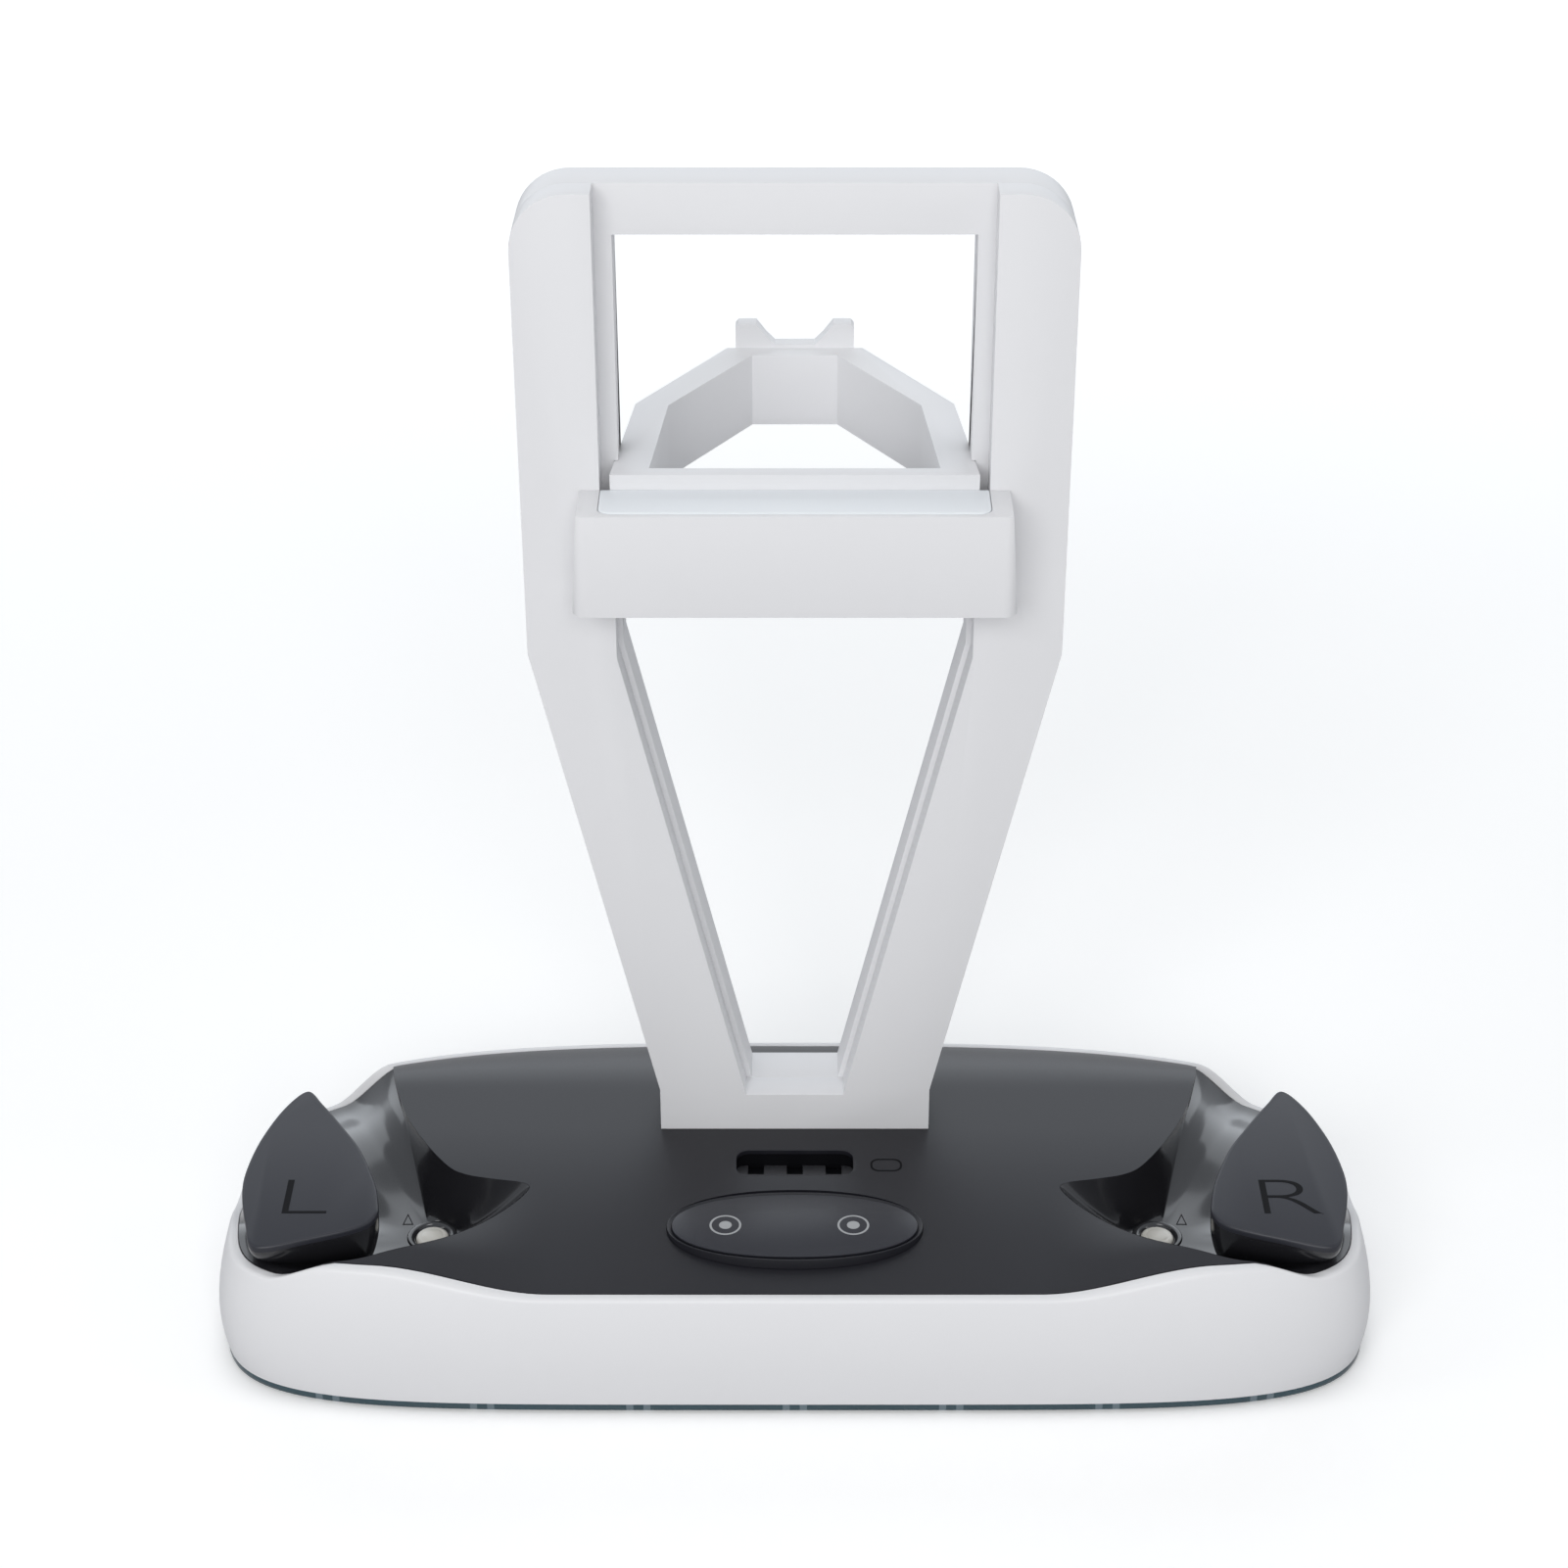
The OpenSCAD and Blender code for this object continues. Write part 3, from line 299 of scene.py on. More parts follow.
class Finish:
    """A material in the making: one shader, and the nodes that vary it over the surface."""

    def __init__(self, name, **constants):
        self.material = bpy.data.materials.new(name)
        self.material.use_nodes = True
        self.tree = self.material.node_tree
        self.shader = self.tree.nodes["Principled BSDF"]
        self.place = self.add("ShaderNodeTexCoord", output="Object")
        for socket, value in constants.items():
            self.shader.inputs[socket.replace("_", " ")].default_value = value

    def add(self, kind, settings=None, sockets=None, output=0):
        """Adds a node with its settings and socket values, and returns one of its outputs."""
        node = self.tree.nodes.new(kind)
        for name, value in (settings or {}).items():
            if name == "stops":
                ramp = node.color_ramp
                while len(ramp.elements) < len(value):
                    ramp.elements.new(0.5)
                for element, (position, colour) in zip(ramp.elements, value):
                    element.position, element.color = position, (*colour, 1.0)
            else:
                setattr(node, name, value)
        for key, value in (sockets or {}).items():
            if isinstance(value, Value):
                self.tree.links.new(value.socket, node.inputs[key])
            else:
                node.inputs[key].default_value = value
        return Value(self, node.outputs[output])

    def feed(self, socket, value):
        self.tree.links.new(value.socket, self.shader.inputs[socket])

    def noise(self, scale, detail=2.0, roughness=0.5):
        """Noise from 0 to 1 over the surface; the scale is in features a metre."""
        return self.add("ShaderNodeTexNoise", None, {
            "Vector": self.place, "Scale": scale, "Detail": detail, "Roughness": roughness})

    def tint(self, dark, light, factor):
        """Colour between two tints."""
        return self.add("ShaderNodeMix", {"data_type": "RGBA"}, {
            "Factor": factor, "A": (*dark, 1.0), "B": (*light, 1.0)}, output="Result")

    def grain(self, height, strength, distance):
        """Fine relief from a height between 0 and 1; the distance is in metres."""
        self.feed("Normal", self.add("ShaderNodeBump", None, {
            "Height": height, "Strength": strength, "Distance": distance}))

    def dimmed(self, colour):
        """Swaps the shader for a plain diffuse one, save where the camera looks straight at it."""
        plain = self.tree.nodes.new("ShaderNodeBsdfDiffuse")
        plain.inputs["Color"].default_value = (*colour, 1.0)
        path = self.tree.nodes.new("ShaderNodeLightPath")
        mix = self.tree.nodes.new("ShaderNodeMixShader")
        self.tree.links.new(path.outputs["Is Camera Ray"], mix.inputs[0])
        self.tree.links.new(plain.outputs[0], mix.inputs[1])
        self.tree.links.new(self.shader.outputs[0], mix.inputs[2])
        self.tree.links.new(mix.outputs[0], self.tree.nodes["Material Output"].inputs[0])


def lighter(colour, by):
    return tuple(clamp(c * by) for c in colour[:3])


def moulded(name, colour, roughness, grain_scale, grain, spread=0.03, **constants):
    """Moulded plastic with a spark-eroded grain, and a finish that varies a little from place to place."""
    finish = Finish(name, **constants)
    cloud = finish.noise(14.0, 3.0)
    finish.feed("Base Color", finish.tint(lighter(colour, 1 - spread), lighter(colour, 1 + spread), cloud))
    texture = finish.noise(grain_scale, 2.0, 0.6)
    finish.feed("Roughness", texture * 0.06 + cloud * 0.05 + (roughness - 0.055))
    finish.grain(texture, grain, 0.00006)
    return finish.material


def polished(name, colour, smudge, **constants):
    """Polished black plastic with the faint haze that handling leaves."""
    finish = Finish(name, Coat_Roughness=0.1, **constants)
    haze = finish.noise(55.0, 4.0, 0.65)
    finish.feed("Base Color", finish.tint(colour[:3], lighter(colour, 1.35), haze))
    finish.feed("Roughness", haze * smudge + 0.13)
    return finish.material


def edge_lit(name, colour, painted_glint):
    """Clear plate seen at its edge: deep teal, with pairs of painted glints, small glowing spots in place of the
    reflections along its edge.
    """
    finish = Finish(name, Coat_Weight=0.6, Emission_Strength=1.0)
    cloud = finish.noise(40.0, 2.0)
    finish.feed("Base Color", finish.tint(lighter(colour, 0.8), lighter(colour, 1.3), cloud))
    finish.feed("Roughness", cloud * 0.08 + 0.1)
    apart = finish.add("ShaderNodeSeparateXYZ", None, {"Vector": finish.place}, output="X")
    pitch, pair, size = 0.04, 0.0022, 0.0009
    from_glint = finish.add("ShaderNodeMath", {"operation": "PINGPONG"}, {0: apart + pitch / 2, 1: pitch / 2})
    offset = finish.add("ShaderNodeMath", {"operation": "ABSOLUTE"}, {0: (pitch / 2 - from_glint) - pair})
    # Painted glints: emission in pairs of small spots along the edge, in place of reflections
    finish.feed("Emission Color", finish.tint((0, 0, 0), painted_glint[:3], (offset < size) * 0.5))
    return finish.material


def solder_masked(name, colour):
    """Circuit board with faint copper tracks under its green mask."""
    finish = Finish(name, Coat_Weight=0.3)
    tracks = finish.add("ShaderNodeTexWave", {"wave_type": "BANDS", "bands_direction": "X"}, {
        "Vector": finish.place, "Scale": 160.0, "Distortion": 2.0, "Detail": 1.0}, output="Fac")
    finish.feed("Base Color", finish.tint(colour[:3], lighter(colour, 1.8), tracks > 0.8))
    finish.feed("Roughness", finish.noise(200.0) * 0.1 + 0.35)
    return finish.material


def brushed(name, colour):
    """Plated steel with fine lines along X."""
    finish = Finish(name, Metallic=1.0)
    stretched = finish.add("ShaderNodeMapping", None, {"Vector": finish.place, "Scale": (0.05, 1.0, 1.0)})
    lines = finish.add("ShaderNodeTexNoise", None, {"Vector": stretched, "Scale": 2200.0, "Detail": 2.0})
    finish.feed("Base Color", finish.tint(lighter(colour, 0.9), colour[:3], lines))
    finish.feed("Roughness", lines * 0.15 + 0.25)
    return finish.material


def material(name, make):
    """The finish of that name, made when it is first asked for."""
    return bpy.data.materials.get(name) or make()


def white_plastic():
    look = bpy.context.scene.dock_look
    return material("satin_white", lambda: moulded(
        "satin_white", look.white, look.white_roughness, 1500.0, 0.1, 0.012))


def deck_black():
    look = bpy.context.scene.dock_look
    return material("matt_deck_black", lambda: moulded(
        "matt_deck_black", look.deck, look.deck_roughness, 1400.0, 0.16, 0.06, Specular_IOR_Level=0.42))


def pad_black():
    look = bpy.context.scene.dock_look
    return material("matt_wing_black", lambda: moulded(
        "matt_wing_black", look.wing, look.deck_roughness, 1400.0, 0.16, 0.06, Specular_IOR_Level=0.36))


def gloss_black():
    look = bpy.context.scene.dock_look
    return material("polished_black", lambda: polished(
        "polished_black", look.gloss, 0.05, Coat_Weight=0.6))


def soft_grey():
    look = bpy.context.scene.dock_look
    return material("soft_arm_pad", lambda: moulded(
        "soft_arm_pad", look.arm_pad, 0.55, 2400.0, 0.18, 0.015))


def contact_white():
    return material("contact_white", lambda: moulded(
        "contact_white", (0.78, 0.76, 0.70), 0.3, 900.0, 0.05, 0.03, Coat_Weight=0.3))


def mark_print():
    look = bpy.context.scene.dock_look
    return material("printed_mark", lambda: moulded(
        "printed_mark", look.mark, 0.5, 1800.0, 0.1, 0.04))


# Near-black with little shine: painted shade on the recess's walls and in its sockets, and the colour of the engraved
# marks
def socket_black():
    return material("socket_black", lambda: moulded(
        "socket_black", (0.004, 0.004, 0.005), 0.5, 1200.0, 0.1, 0.05, Specular_IOR_Level=0.08))


# Painted light: a black lightened to make up for the shade in the recess, so that the ramp reads as light as the deck
def ramp_painted_lighter():
    return material("matt_ramp", lambda: moulded(
        "matt_ramp", (0.045, 0.045, 0.05), 0.4, 1400.0, 0.16, 0.06))


def to_row(x, y, z):
    """Row-frame point, in metres, of a point measured from the middle of the base."""
    return Vector((x, y + SHIFT_Y, z)) * MM


def surface(across, along, place):
    """Bmesh of a grid whose point at (i, j) is moved to place(i, j), in millimetres."""
    bm = bmesh.new()
    bmesh.ops.create_grid(bm, x_segments=across, y_segments=along, size=1)
    for v in bm.verts:
        i, j = round((v.co.x + 1) / 2 * across), round((v.co.y + 1) / 2 * along)
        v.co = to_row(*place(i, j))
    return bm


def weld(bm, distance=1e-6):
    bmesh.ops.remove_doubles(bm, verts=bm.verts, dist=distance)


def outward(bm):
    bmesh.ops.recalc_face_normals(bm, faces=bm.faces)


def prism(outline, low, high):
    """Bmesh of an upright prism over an outline, both in millimetres."""
    bm = bmesh.new()
    face = bm.faces.new([bm.verts.new(to_row(x, y, low)) for x, y in outline])
    grown = bmesh.ops.extrude_face_region(bm, geom=[face])["geom"]
    lift = Vector((0, 0, (high - low) * MM))
    bmesh.ops.translate(bm, verts=[g for g in grown if isinstance(g, bmesh.types.BMVert)], vec=lift)
    outward(bm)
    return bm


def rounded_outline(w, d, r, steps=8):
    """Points round a rectangle with round corners."""
    out = []
    for k in range(4):
        cx = (w / 2 - r) * (1 if k in (0, 3) else -1)
        cy = (d / 2 - r) * (1 if k in (0, 1) else -1)
        for s in range(steps + 1):
            a = math.radians(90 * k + 90 * s / steps)
            out.append((cx + r * math.cos(a), cy + r * math.sin(a)))
    return out


def oval_outline(w, d, count=120):
    out = []
    for k in range(count):
        c, s = math.cos(2 * math.pi * k / count), math.sin(2 * math.pi * k / count)
        r = (abs(c) ** 2.15 + abs(s) ** 2.15) ** (-1 / 2.15)
        out.append((w / 2 * r * c, d / 2 * r * s))
    return out


def moved(outline, x, y):
    return [(px + x, py + y) for px, py in outline]


def soften_edges(bm, width, segments=3, angle=28):
    """Rounds each edge where two faces meet at more than the angle. The width is in millimetres."""
    sharp = [e for e in bm.edges if len(e.link_faces) == 2 and e.calc_face_angle(0) > math.radians(angle)]
    bmesh.ops.bevel(bm, geom=sharp, offset=width * MM, offset_type="OFFSET", affect="EDGES",
                    segments=segments, profile=0.5, material=-1, clamp_overlap=True)


def finish_piece(bm, name, look, nodes=(), angle=35):
    """Makes the bmesh a piece of the dock with its finish, and hides the solids that it stands for."""
    mesh = bpy.data.meshes.new(name)
    bm.to_mesh(mesh)
    bm.free()
    mesh.materials.append(look)
    mesh.shade_smooth()
    mesh.set_sharp_from_angle(angle=math.radians(angle))
    piece = bpy.data.objects.new(name, mesh)
    bpy.context.scene.collection.objects.link(piece)
    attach(piece, "root")
    if nodes:
        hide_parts(*nodes)
    return piece


def carve(piece, cutters):
    """Cuts closed bmeshes out of a piece."""
    for bm in cutters:
        mesh = bpy.data.meshes.new("cutter")
        bm.to_mesh(mesh)
        bm.free()
        tool = bpy.data.objects.new("cutter", mesh)
        bpy.context.scene.collection.objects.link(tool)
        cut = piece.modifiers.new("cut", "BOOLEAN")
        cut.operation, cut.solver, cut.object = "DIFFERENCE", "EXACT", tool
        solid = bpy.data.meshes.new_from_object(piece.evaluated_get(bpy.context.evaluated_depsgraph_get()))
        piece.modifiers.remove(cut)
        bpy.data.objects.remove(tool)
        piece.data = solid


def copy_of(node):
    """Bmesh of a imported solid, with its loose triangles joined into whole faces."""
    bm = bmesh.new()
    bm.from_mesh(NODES[node].data)
    weld(bm)
    bmesh.ops.dissolve_limit(bm, angle_limit=math.radians(0.5), verts=bm.verts, edges=bm.edges)
    return bm


def softened(node, name, look, width, segments=3):
    """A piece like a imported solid, with round edges."""
    bm = copy_of(node)
    soften_edges(bm, width, segments)
    return finish_piece(bm, name, look, [node])


def mirrored_copy(bm):
    """A copy of the bmesh for the other side of the dock."""
    other = bm.copy()
    bmesh.ops.scale(other, vec=(-1, 1, 1), verts=other.verts)
    bmesh.ops.reverse_faces(other, faces=other.faces)
    return other


def both_sides(bm, name, look, node=None, angle=35):
    """A right-hand piece and its mirror image."""
    left = mirrored_copy(bm)
    nodes = {side: [f"{node}_{side}"] if node else [] for side in ("left", "right")}
    finish_piece(left, f"{name}_left", look, nodes["left"], angle)
    return finish_piece(bm, f"{name}_right", look, nodes["right"], angle)


def turned(profile, steps, x, y):
    """Bmesh of a profile of (radius, level) points turned round an upright line through a place."""
    bm = bmesh.new()
    points = [bm.verts.new(to_row(x + r, y, z)) for r, z in profile]
    edges = [bm.edges.new(pair) for pair in zip(points, points[1:])]
    bmesh.ops.spin(bm, geom=points + edges, cent=to_row(x, y, 0), axis=(0, 0, 1), angle=2 * math.pi,
                   steps=steps, use_merge=True)
    weld(bm)
    outward(bm)
    return bm


class DockLook(bpy.types.PropertyGroup):
    """Colours and finishes of the dock"""

    white: bpy.props.FloatVectorProperty(
        name="White", description="Colour of the shell and the upright", subtype="COLOR", size=3,
        min=0, max=1, default=(0.74, 0.74, 0.755))
    white_roughness: bpy.props.FloatProperty(
        name="White roughness", description="Roughness of the white mouldings", subtype="FACTOR",
        min=0, max=1, default=0.42)
    deck: bpy.props.FloatVectorProperty(
        name="Deck", description="Colour of the matt deck", subtype="COLOR", size=3,
        min=0, max=1, default=(0.008, 0.008, 0.0115))
    deck_roughness: bpy.props.FloatProperty(
        name="Deck roughness", description="Roughness of the matt black mouldings", subtype="FACTOR",
        min=0, max=1, default=0.38)
    wing: bpy.props.FloatVectorProperty(
        name="Wing", description="Colour of the matt pads on the wings", subtype="COLOR", size=3,
        min=0, max=1, default=(0.022, 0.023, 0.03))
    gloss: bpy.props.FloatVectorProperty(
        name="Gloss", description="Colour of the polished docks", subtype="COLOR", size=3,
        min=0, max=1, default=(0.012, 0.012, 0.014))
    arm_pad: bpy.props.FloatVectorProperty(
        name="Arm pad", description="Colour of the pad on the crossbar", subtype="COLOR", size=3,
        min=0, max=1, default=(0.78, 0.81, 0.84))
    mark: bpy.props.FloatVectorProperty(
        name="Mark", description="Colour of the printed rings", subtype="COLOR", size=3,
        min=0, max=1, default=(0.36, 0.37, 0.38))


class DockSizes(bpy.types.PropertyGroup):
    """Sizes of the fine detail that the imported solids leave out"""

    edge_round: bpy.props.FloatProperty(
        name="Edge radius", description="Radius of the upright's edges", subtype="DISTANCE", unit="LENGTH",
        min=0.0001, max=0.002, default=0.0006)
    lip_round: bpy.props.FloatProperty(
        name="Lip radius", description="Radius of the shell's outer top edge", subtype="DISTANCE",
        unit="LENGTH", min=0.0002, max=0.0015, default=0.0009)
    wing_round: bpy.props.FloatProperty(
        name="Wing radius", description="Radius of the wing's top edge", subtype="DISTANCE",
        unit="LENGTH", min=0.0002, max=0.0015, default=0.0008)
    letter_size: bpy.props.FloatProperty(
        name="Letter size", description="Height of the side letters", subtype="DISTANCE", unit="LENGTH",
        min=0.006, max=0.016, default=0.0145)
    ring_size: bpy.props.FloatProperty(
        name="Ring size", description="Diameter of the printed rings", subtype="DISTANCE", unit="LENGTH",
        min=0.005, max=0.011, default=0.0082)


class DockStage(bpy.types.PropertyGroup):
    """Light, floor and camera"""

    sky: bpy.props.FloatProperty(
        name="Sky", description="Strength of the even light from all round", min=0, max=2, default=0.4)
    key: bpy.props.FloatProperty(
        name="Key light", description="Power of the large light over the front", subtype="POWER",
        unit="POWER", min=0, max=60, default=12.5)
    back: bpy.props.FloatProperty(
        name="Back light", description="Power of the wide light behind, which the black surfaces mirror",
        subtype="POWER", unit="POWER", min=0, max=60, default=10.0)
    top: bpy.props.FloatProperty(
        name="Top light", description="Power of the small light overhead, which the bowls mirror",
        subtype="POWER", unit="POWER", min=0, max=60, default=1.2)
    fill: bpy.props.FloatProperty(
        name="Side light", description="Power of each light at the sides", subtype="POWER",
        unit="POWER", min=0, max=60, default=0.7)
    camera_pitch: bpy.props.FloatProperty(
        name="Camera pitch", description="How far the camera looks down", subtype="ANGLE", unit="ROTATION",
        min=0, max=1.5, default=math.radians(29.3))


def sizes(name):
    """A detail size, in millimetres."""
    return getattr(bpy.context.scene.dock_sizes, name) / MM


class DOCK_OT_shell(bpy.types.Operator):
    """Models the white shell with its rolled rim, and the power inlet's mouth"""

    bl_idname = "dock.shell"
    bl_label = "Shell"

    def execute(self, context):
        turns = 480
        r = sizes("lip_round")
        seat = DECK_T + FIT
        wall = [(0.0, f) for f in (0, 0.08, 0.16, 0.25, 0.34, 0.43, 0.52, 0.61, 0.7, 0.78, 0.85, 0.91, 0.95)]
        lip = [(r * (1 - math.cos(math.radians(a))), r * (1 - math.sin(math.radians(a)))) for a in range(0, 91, 15)]
        small = 0.25
        inner = [(LIP_W - small * (1 - math.sin(math.radians(a))), small * (1 - math.cos(math.radians(a))))
                 for a in range(0, 91, 30)]
        inside = [(LIP_W, seat), (LIP_W + LEDGE_W, seat + LEDGE_DROP), (LIP_W + LEDGE_W, seat + LEDGE_DROP + 3)]
        low = [(SHELL_T + LEDGE_W / 2, BELLY_Z * 0.6), (SHELL_T, PLATE_Z)]
        rows = len(wall) + len(lip) + len(inner) + len(inside) + len(low)
        rims = [rim_at(i * 360 / turns) for i in range(turns)]

        def place(i, j):
            angle, rim = (i % turns) * 360 / turns, rims[i % turns]
            j = j % rows
            if j < len(wall):
                z = between(PLATE_Z, rim - r, wall[j][1] / 0.97)
                return *outline_at(angle, z, 0), z
            j -= len(wall)
            if j < len(lip):
                inset, drop = lip[j]
                return *outline_at(angle, rim - drop, inset), rim - drop
            j -= len(lip)
            top = inner + inside
            if j < len(top):
                inset, drop = top[j]
                return *outline_at(angle, rim, inset), rim - drop
            inset, z = low[j - len(top)]
            return *outline_at(angle, z, inset), z

        bm = surface(turns, rows, place)
        weld(bm)
        outward(bm)
        shell = finish_piece(bm, "shell", white_plastic(), ["base_shell"])
        mouth = prism(rounded_outline(INLET_W + 4 * FIT, INLET_H + 4 * FIT, 1.8), -8.0, 4.0)
        turn = Matrix.Rotation(math.radians(-90), 4, "X")
        bmesh.ops.translate(mouth, verts=mouth.verts, vec=(0, -SHIFT_Y * MM, 0))
        bmesh.ops.transform(mouth, verts=mouth.verts, matrix=turn)
        bmesh.ops.translate(mouth, verts=mouth.verts, vec=to_row(0, HALF_D, INLET_Z))
        carve(shell, [mouth])
        return {"FINISHED"}


class DOCK_OT_deck(bpy.types.Operator):
    """Models the matt deck with its slot, recess, oval seat and engraved outline"""

    bl_idname = "dock.deck"
    bl_label = "Deck"

    def execute(self, context):
        columns, rows = 96, len(EDGE_LINE) - 1

        def place(i, j):
            x, y = deck_plan(j, 2 * i / columns - 1)
            return x, y, deck_at(x, y)

        bm = surface(columns, rows, place)
        outward(bm)
        if sum(f.normal.z for f in bm.faces) < 0:
            bmesh.ops.reverse_faces(bm, faces=bm.faces)
        under = bmesh.ops.extrude_face_region(bm, geom=bm.faces[:], use_keep_orig=True)["geom"]
        lower = [g for g in under if isinstance(g, bmesh.types.BMVert)]
        bmesh.ops.translate(bm, verts=lower, vec=(0, 0, -DECK_T * MM))
        outward(bm)
        deck = finish_piece(bm, "deck_moulding", deck_black(), ["deck"])
        slot = [(x, y + UPRIGHT_Y + UPRIGHT_T / 2)
                for x, y in rounded_outline(FOOT_W + 2 * FIT, UPRIGHT_T + 2 * FIT, 0.3, 2)]
        tray = moved(rounded_outline(TRAY_W, TRAY_D, TRAY_R), 0, TRAY_Y)
        oval = moved(oval_outline(OVAL_W + 2 * FIT, OVAL_D + 2 * FIT), 0, OVAL_Y)
        carve(deck, [prism(slot, 20, 60), prism(tray, 20, 60), prism(oval, 20, 60)])
        self.roll_tray_edge(deck)
        self.engraving()
        return {"FINISHED"}

    def roll_tray_edge(self, deck):
        """Rounds the deck's top edge along the back and the sides of the recess."""
        bm = bmesh.new()
        bm.from_mesh(deck.data)
        reach = Vector((TRAY_W / 2 + 0.1, TRAY_D / 2 + 0.1)) * MM
        middle = to_row(0, TRAY_Y, 0)
        rim = []
        for e in bm.edges:
            ends = [v.co - middle for v in e.verts]
            near = all(abs(c.x) < reach.x and -reach.y + 0.002 < c.y < reach.y for c in ends)
            top = all(c.z > (DECK_Z - 1.4) * MM for c in ends)
            if near and top and len(e.link_faces) == 2 and e.calc_face_angle(0) > math.radians(50):
                rim.append(e)
        bmesh.ops.bevel(bm, geom=rim, offset=0.6 * MM, offset_type="OFFSET", affect="EDGES",
                        segments=4, profile=0.5, material=-1, clamp_overlap=True)
        bm.to_mesh(deck.data)
        bm.free()
        deck.data.set_sharp_from_angle(angle=math.radians(35))

    def engraving(self):
        """A plain rounded outline beside the recess, in place of the symbol that is engraved there."""
        outline = rounded_outline(8.4, 5.2, 2.2)
        count = len(outline)

        def place(i, j):
            x, y = outline[i % count]
            x, y = 24.2 + x * (1 - 0.13 * j), -10.0 + y * (1 - 0.2 * j)
            return x, y, deck_at(x, y) + 0.03

        bm = surface(count, 1, place)
        weld(bm)
        if sum(f.normal.z for f in bm.faces) < 0:
            bmesh.ops.reverse_faces(bm, faces=bm.faces)
        finish_piece(bm, "engraved_outline", socket_black())


class DOCK_OT_docks(bpy.types.Operator):
    """Models the polished docks with their bowls and saddles"""

    bl_idname = "dock.docks"
    bl_label = "Docks"

    def execute(self, context):
        count, rings = len(DOCK_LOOP), 36

        def place(i, j):
            return dock_point(DOCK_LOOP[i % count], j / rings)

        bm = surface(count, rings, place)
        weld(bm)
        if sum(f.normal.z for f in bm.faces) < 0:
            bmesh.ops.reverse_faces(bm, faces=bm.faces)
        rim = [e for e in bm.edges if e.is_boundary]
        skirt = bmesh.ops.extrude_edge_only(bm, edges=rim)["geom"]
        lower = [g for g in skirt if isinstance(g, bmesh.types.BMVert)]
        bmesh.ops.translate(bm, verts=lower, vec=(0, 0, -DECK_T * MM))
        both_sides(bm, "dock_bowl", gloss_black(), "dock", 60)
        both_sides(self.pointer(), "floor_pointer", socket_black())
        return {"FINISHED"}

    def pointer(self):
        """The small engraved triangle on the floor of a dock."""
        corners = [(101.3, -15.4), (104.3, -15.4), (103.3, -10.6)]
        cx = sum(c[0] for c in corners) / 3
        cy = sum(c[1] for c in corners) / 3
        ring = [tuple(between(a[k], b[k], t / 4) for k in (0, 1))
                for a, b in zip(corners, corners[1:] + corners[:1]) for t in range(4)]
        count = len(ring)

        def place(i, j):
            x, y = (between(p, q, 0.28 * j) for p, q in zip(ring[i % count], (cx, cy)))
            return x, y, dock_at(x, y) + 0.02

        bm = surface(count, 1, place)
        weld(bm)
        if sum(f.normal.z for f in bm.faces) < 0:
            bmesh.ops.reverse_faces(bm, faces=bm.faces)
        return bm


class DOCK_OT_wings(bpy.types.Operator):
    """Models the wings: polished walls, matt pads with a rolled edge, and the side letters"""

    bl_idname = "dock.wings"
    bl_label = "Wings"

    def execute(self, context):
        line = curve(WING_OUTLINE, 8, closed=True)
        count = len(line)
        seats = [dock_at(*leaned(spot, WING_LEAN)) for spot in line]
        levels = 12

        def wall_point(i, j):
            f = j / levels
            x, y = leaned(line[i % count], WING_LEAN * (1 - f) ** 2)
            return x, y, between(seats[i % count] - 0.2, wing_at(line[i % count][1]) - WING_PAD_T, f)

        wall = surface(count, levels, wall_point)
        weld(wall)
        outward(wall)
        both_sides(wall, "wing_side", gloss_black(), "wing_wall")
        pad = self.pad(line)
        both_sides(pad, "wing_top", pad_black(), "wing_pad")
        for side, letter in ((1, "R"), (-1, "L")):
            self.letter(side, letter)
        return {"FINISHED"}

    def pad(self, line):
        """The wing's cap, with a rolled top edge."""
        r = sizes("wing_round")
        count = len(line)
        bm = bmesh.new()
        top = [bm.verts.new(to_row(x, y, wing_at(y))) for x, y in line]
        face = bm.faces.new(top)
        if face.normal.z < 0:
            bmesh.ops.reverse_faces(bm, faces=[face])
        grown = bmesh.ops.extrude_edge_only(bm, edges=bm.edges[:])["geom"]
        lower = [g for g in grown if isinstance(g, bmesh.types.BMVert)]
        bmesh.ops.translate(bm, verts=lower, vec=(0, 0, -WING_PAD_T * MM))
        rim = [e for e in bm.edges if len(e.link_faces) == 2 and e.calc_face_angle(0) > math.radians(60)]
        bmesh.ops.bevel(bm, geom=rim, offset=r * MM, offset_type="OFFSET", affect="EDGES",
                        segments=4, profile=0.5, material=-1, clamp_overlap=False)
        return bm

    def letter(self, side, letter):
        """A plain letter sunk into the look of the wing's top, as a thin darker inlay."""
        font = bpy.data.curves.new(f"side_letter_{letter}", "FONT")
        font.body = letter
        font.size = sizes("letter_size") * MM * 1.42
        font.align_x, font.align_y = "CENTER", "CENTER"
        font.offset = -0.00048
        font.extrude = 0.00006
        carrier = bpy.data.objects.new("letter_carrier", font)
        bpy.context.scene.collection.objects.link(carrier)
        mesh = bpy.data.meshes.new_from_object(carrier.evaluated_get(bpy.context.evaluated_depsgraph_get()))
        bpy.data.objects.remove(carrier)
        bm = bmesh.new()
        bm.from_mesh(mesh)
        weld(bm)
        x, y = side * 127.0, -30.6
        tilt = Matrix.Rotation(math.atan(WING_SLOPE), 4, "X")
        centre = Matrix.Translation(to_row(x, y, wing_at(y) + 0.01))
        bmesh.ops.scale(bm, vec=(1.55, 1, 1), verts=bm.verts)
        bmesh.ops.transform(bm, verts=bm.verts, matrix=centre @ tilt)
        finish_piece(bm, f"side_letter_{letter}", socket_black())


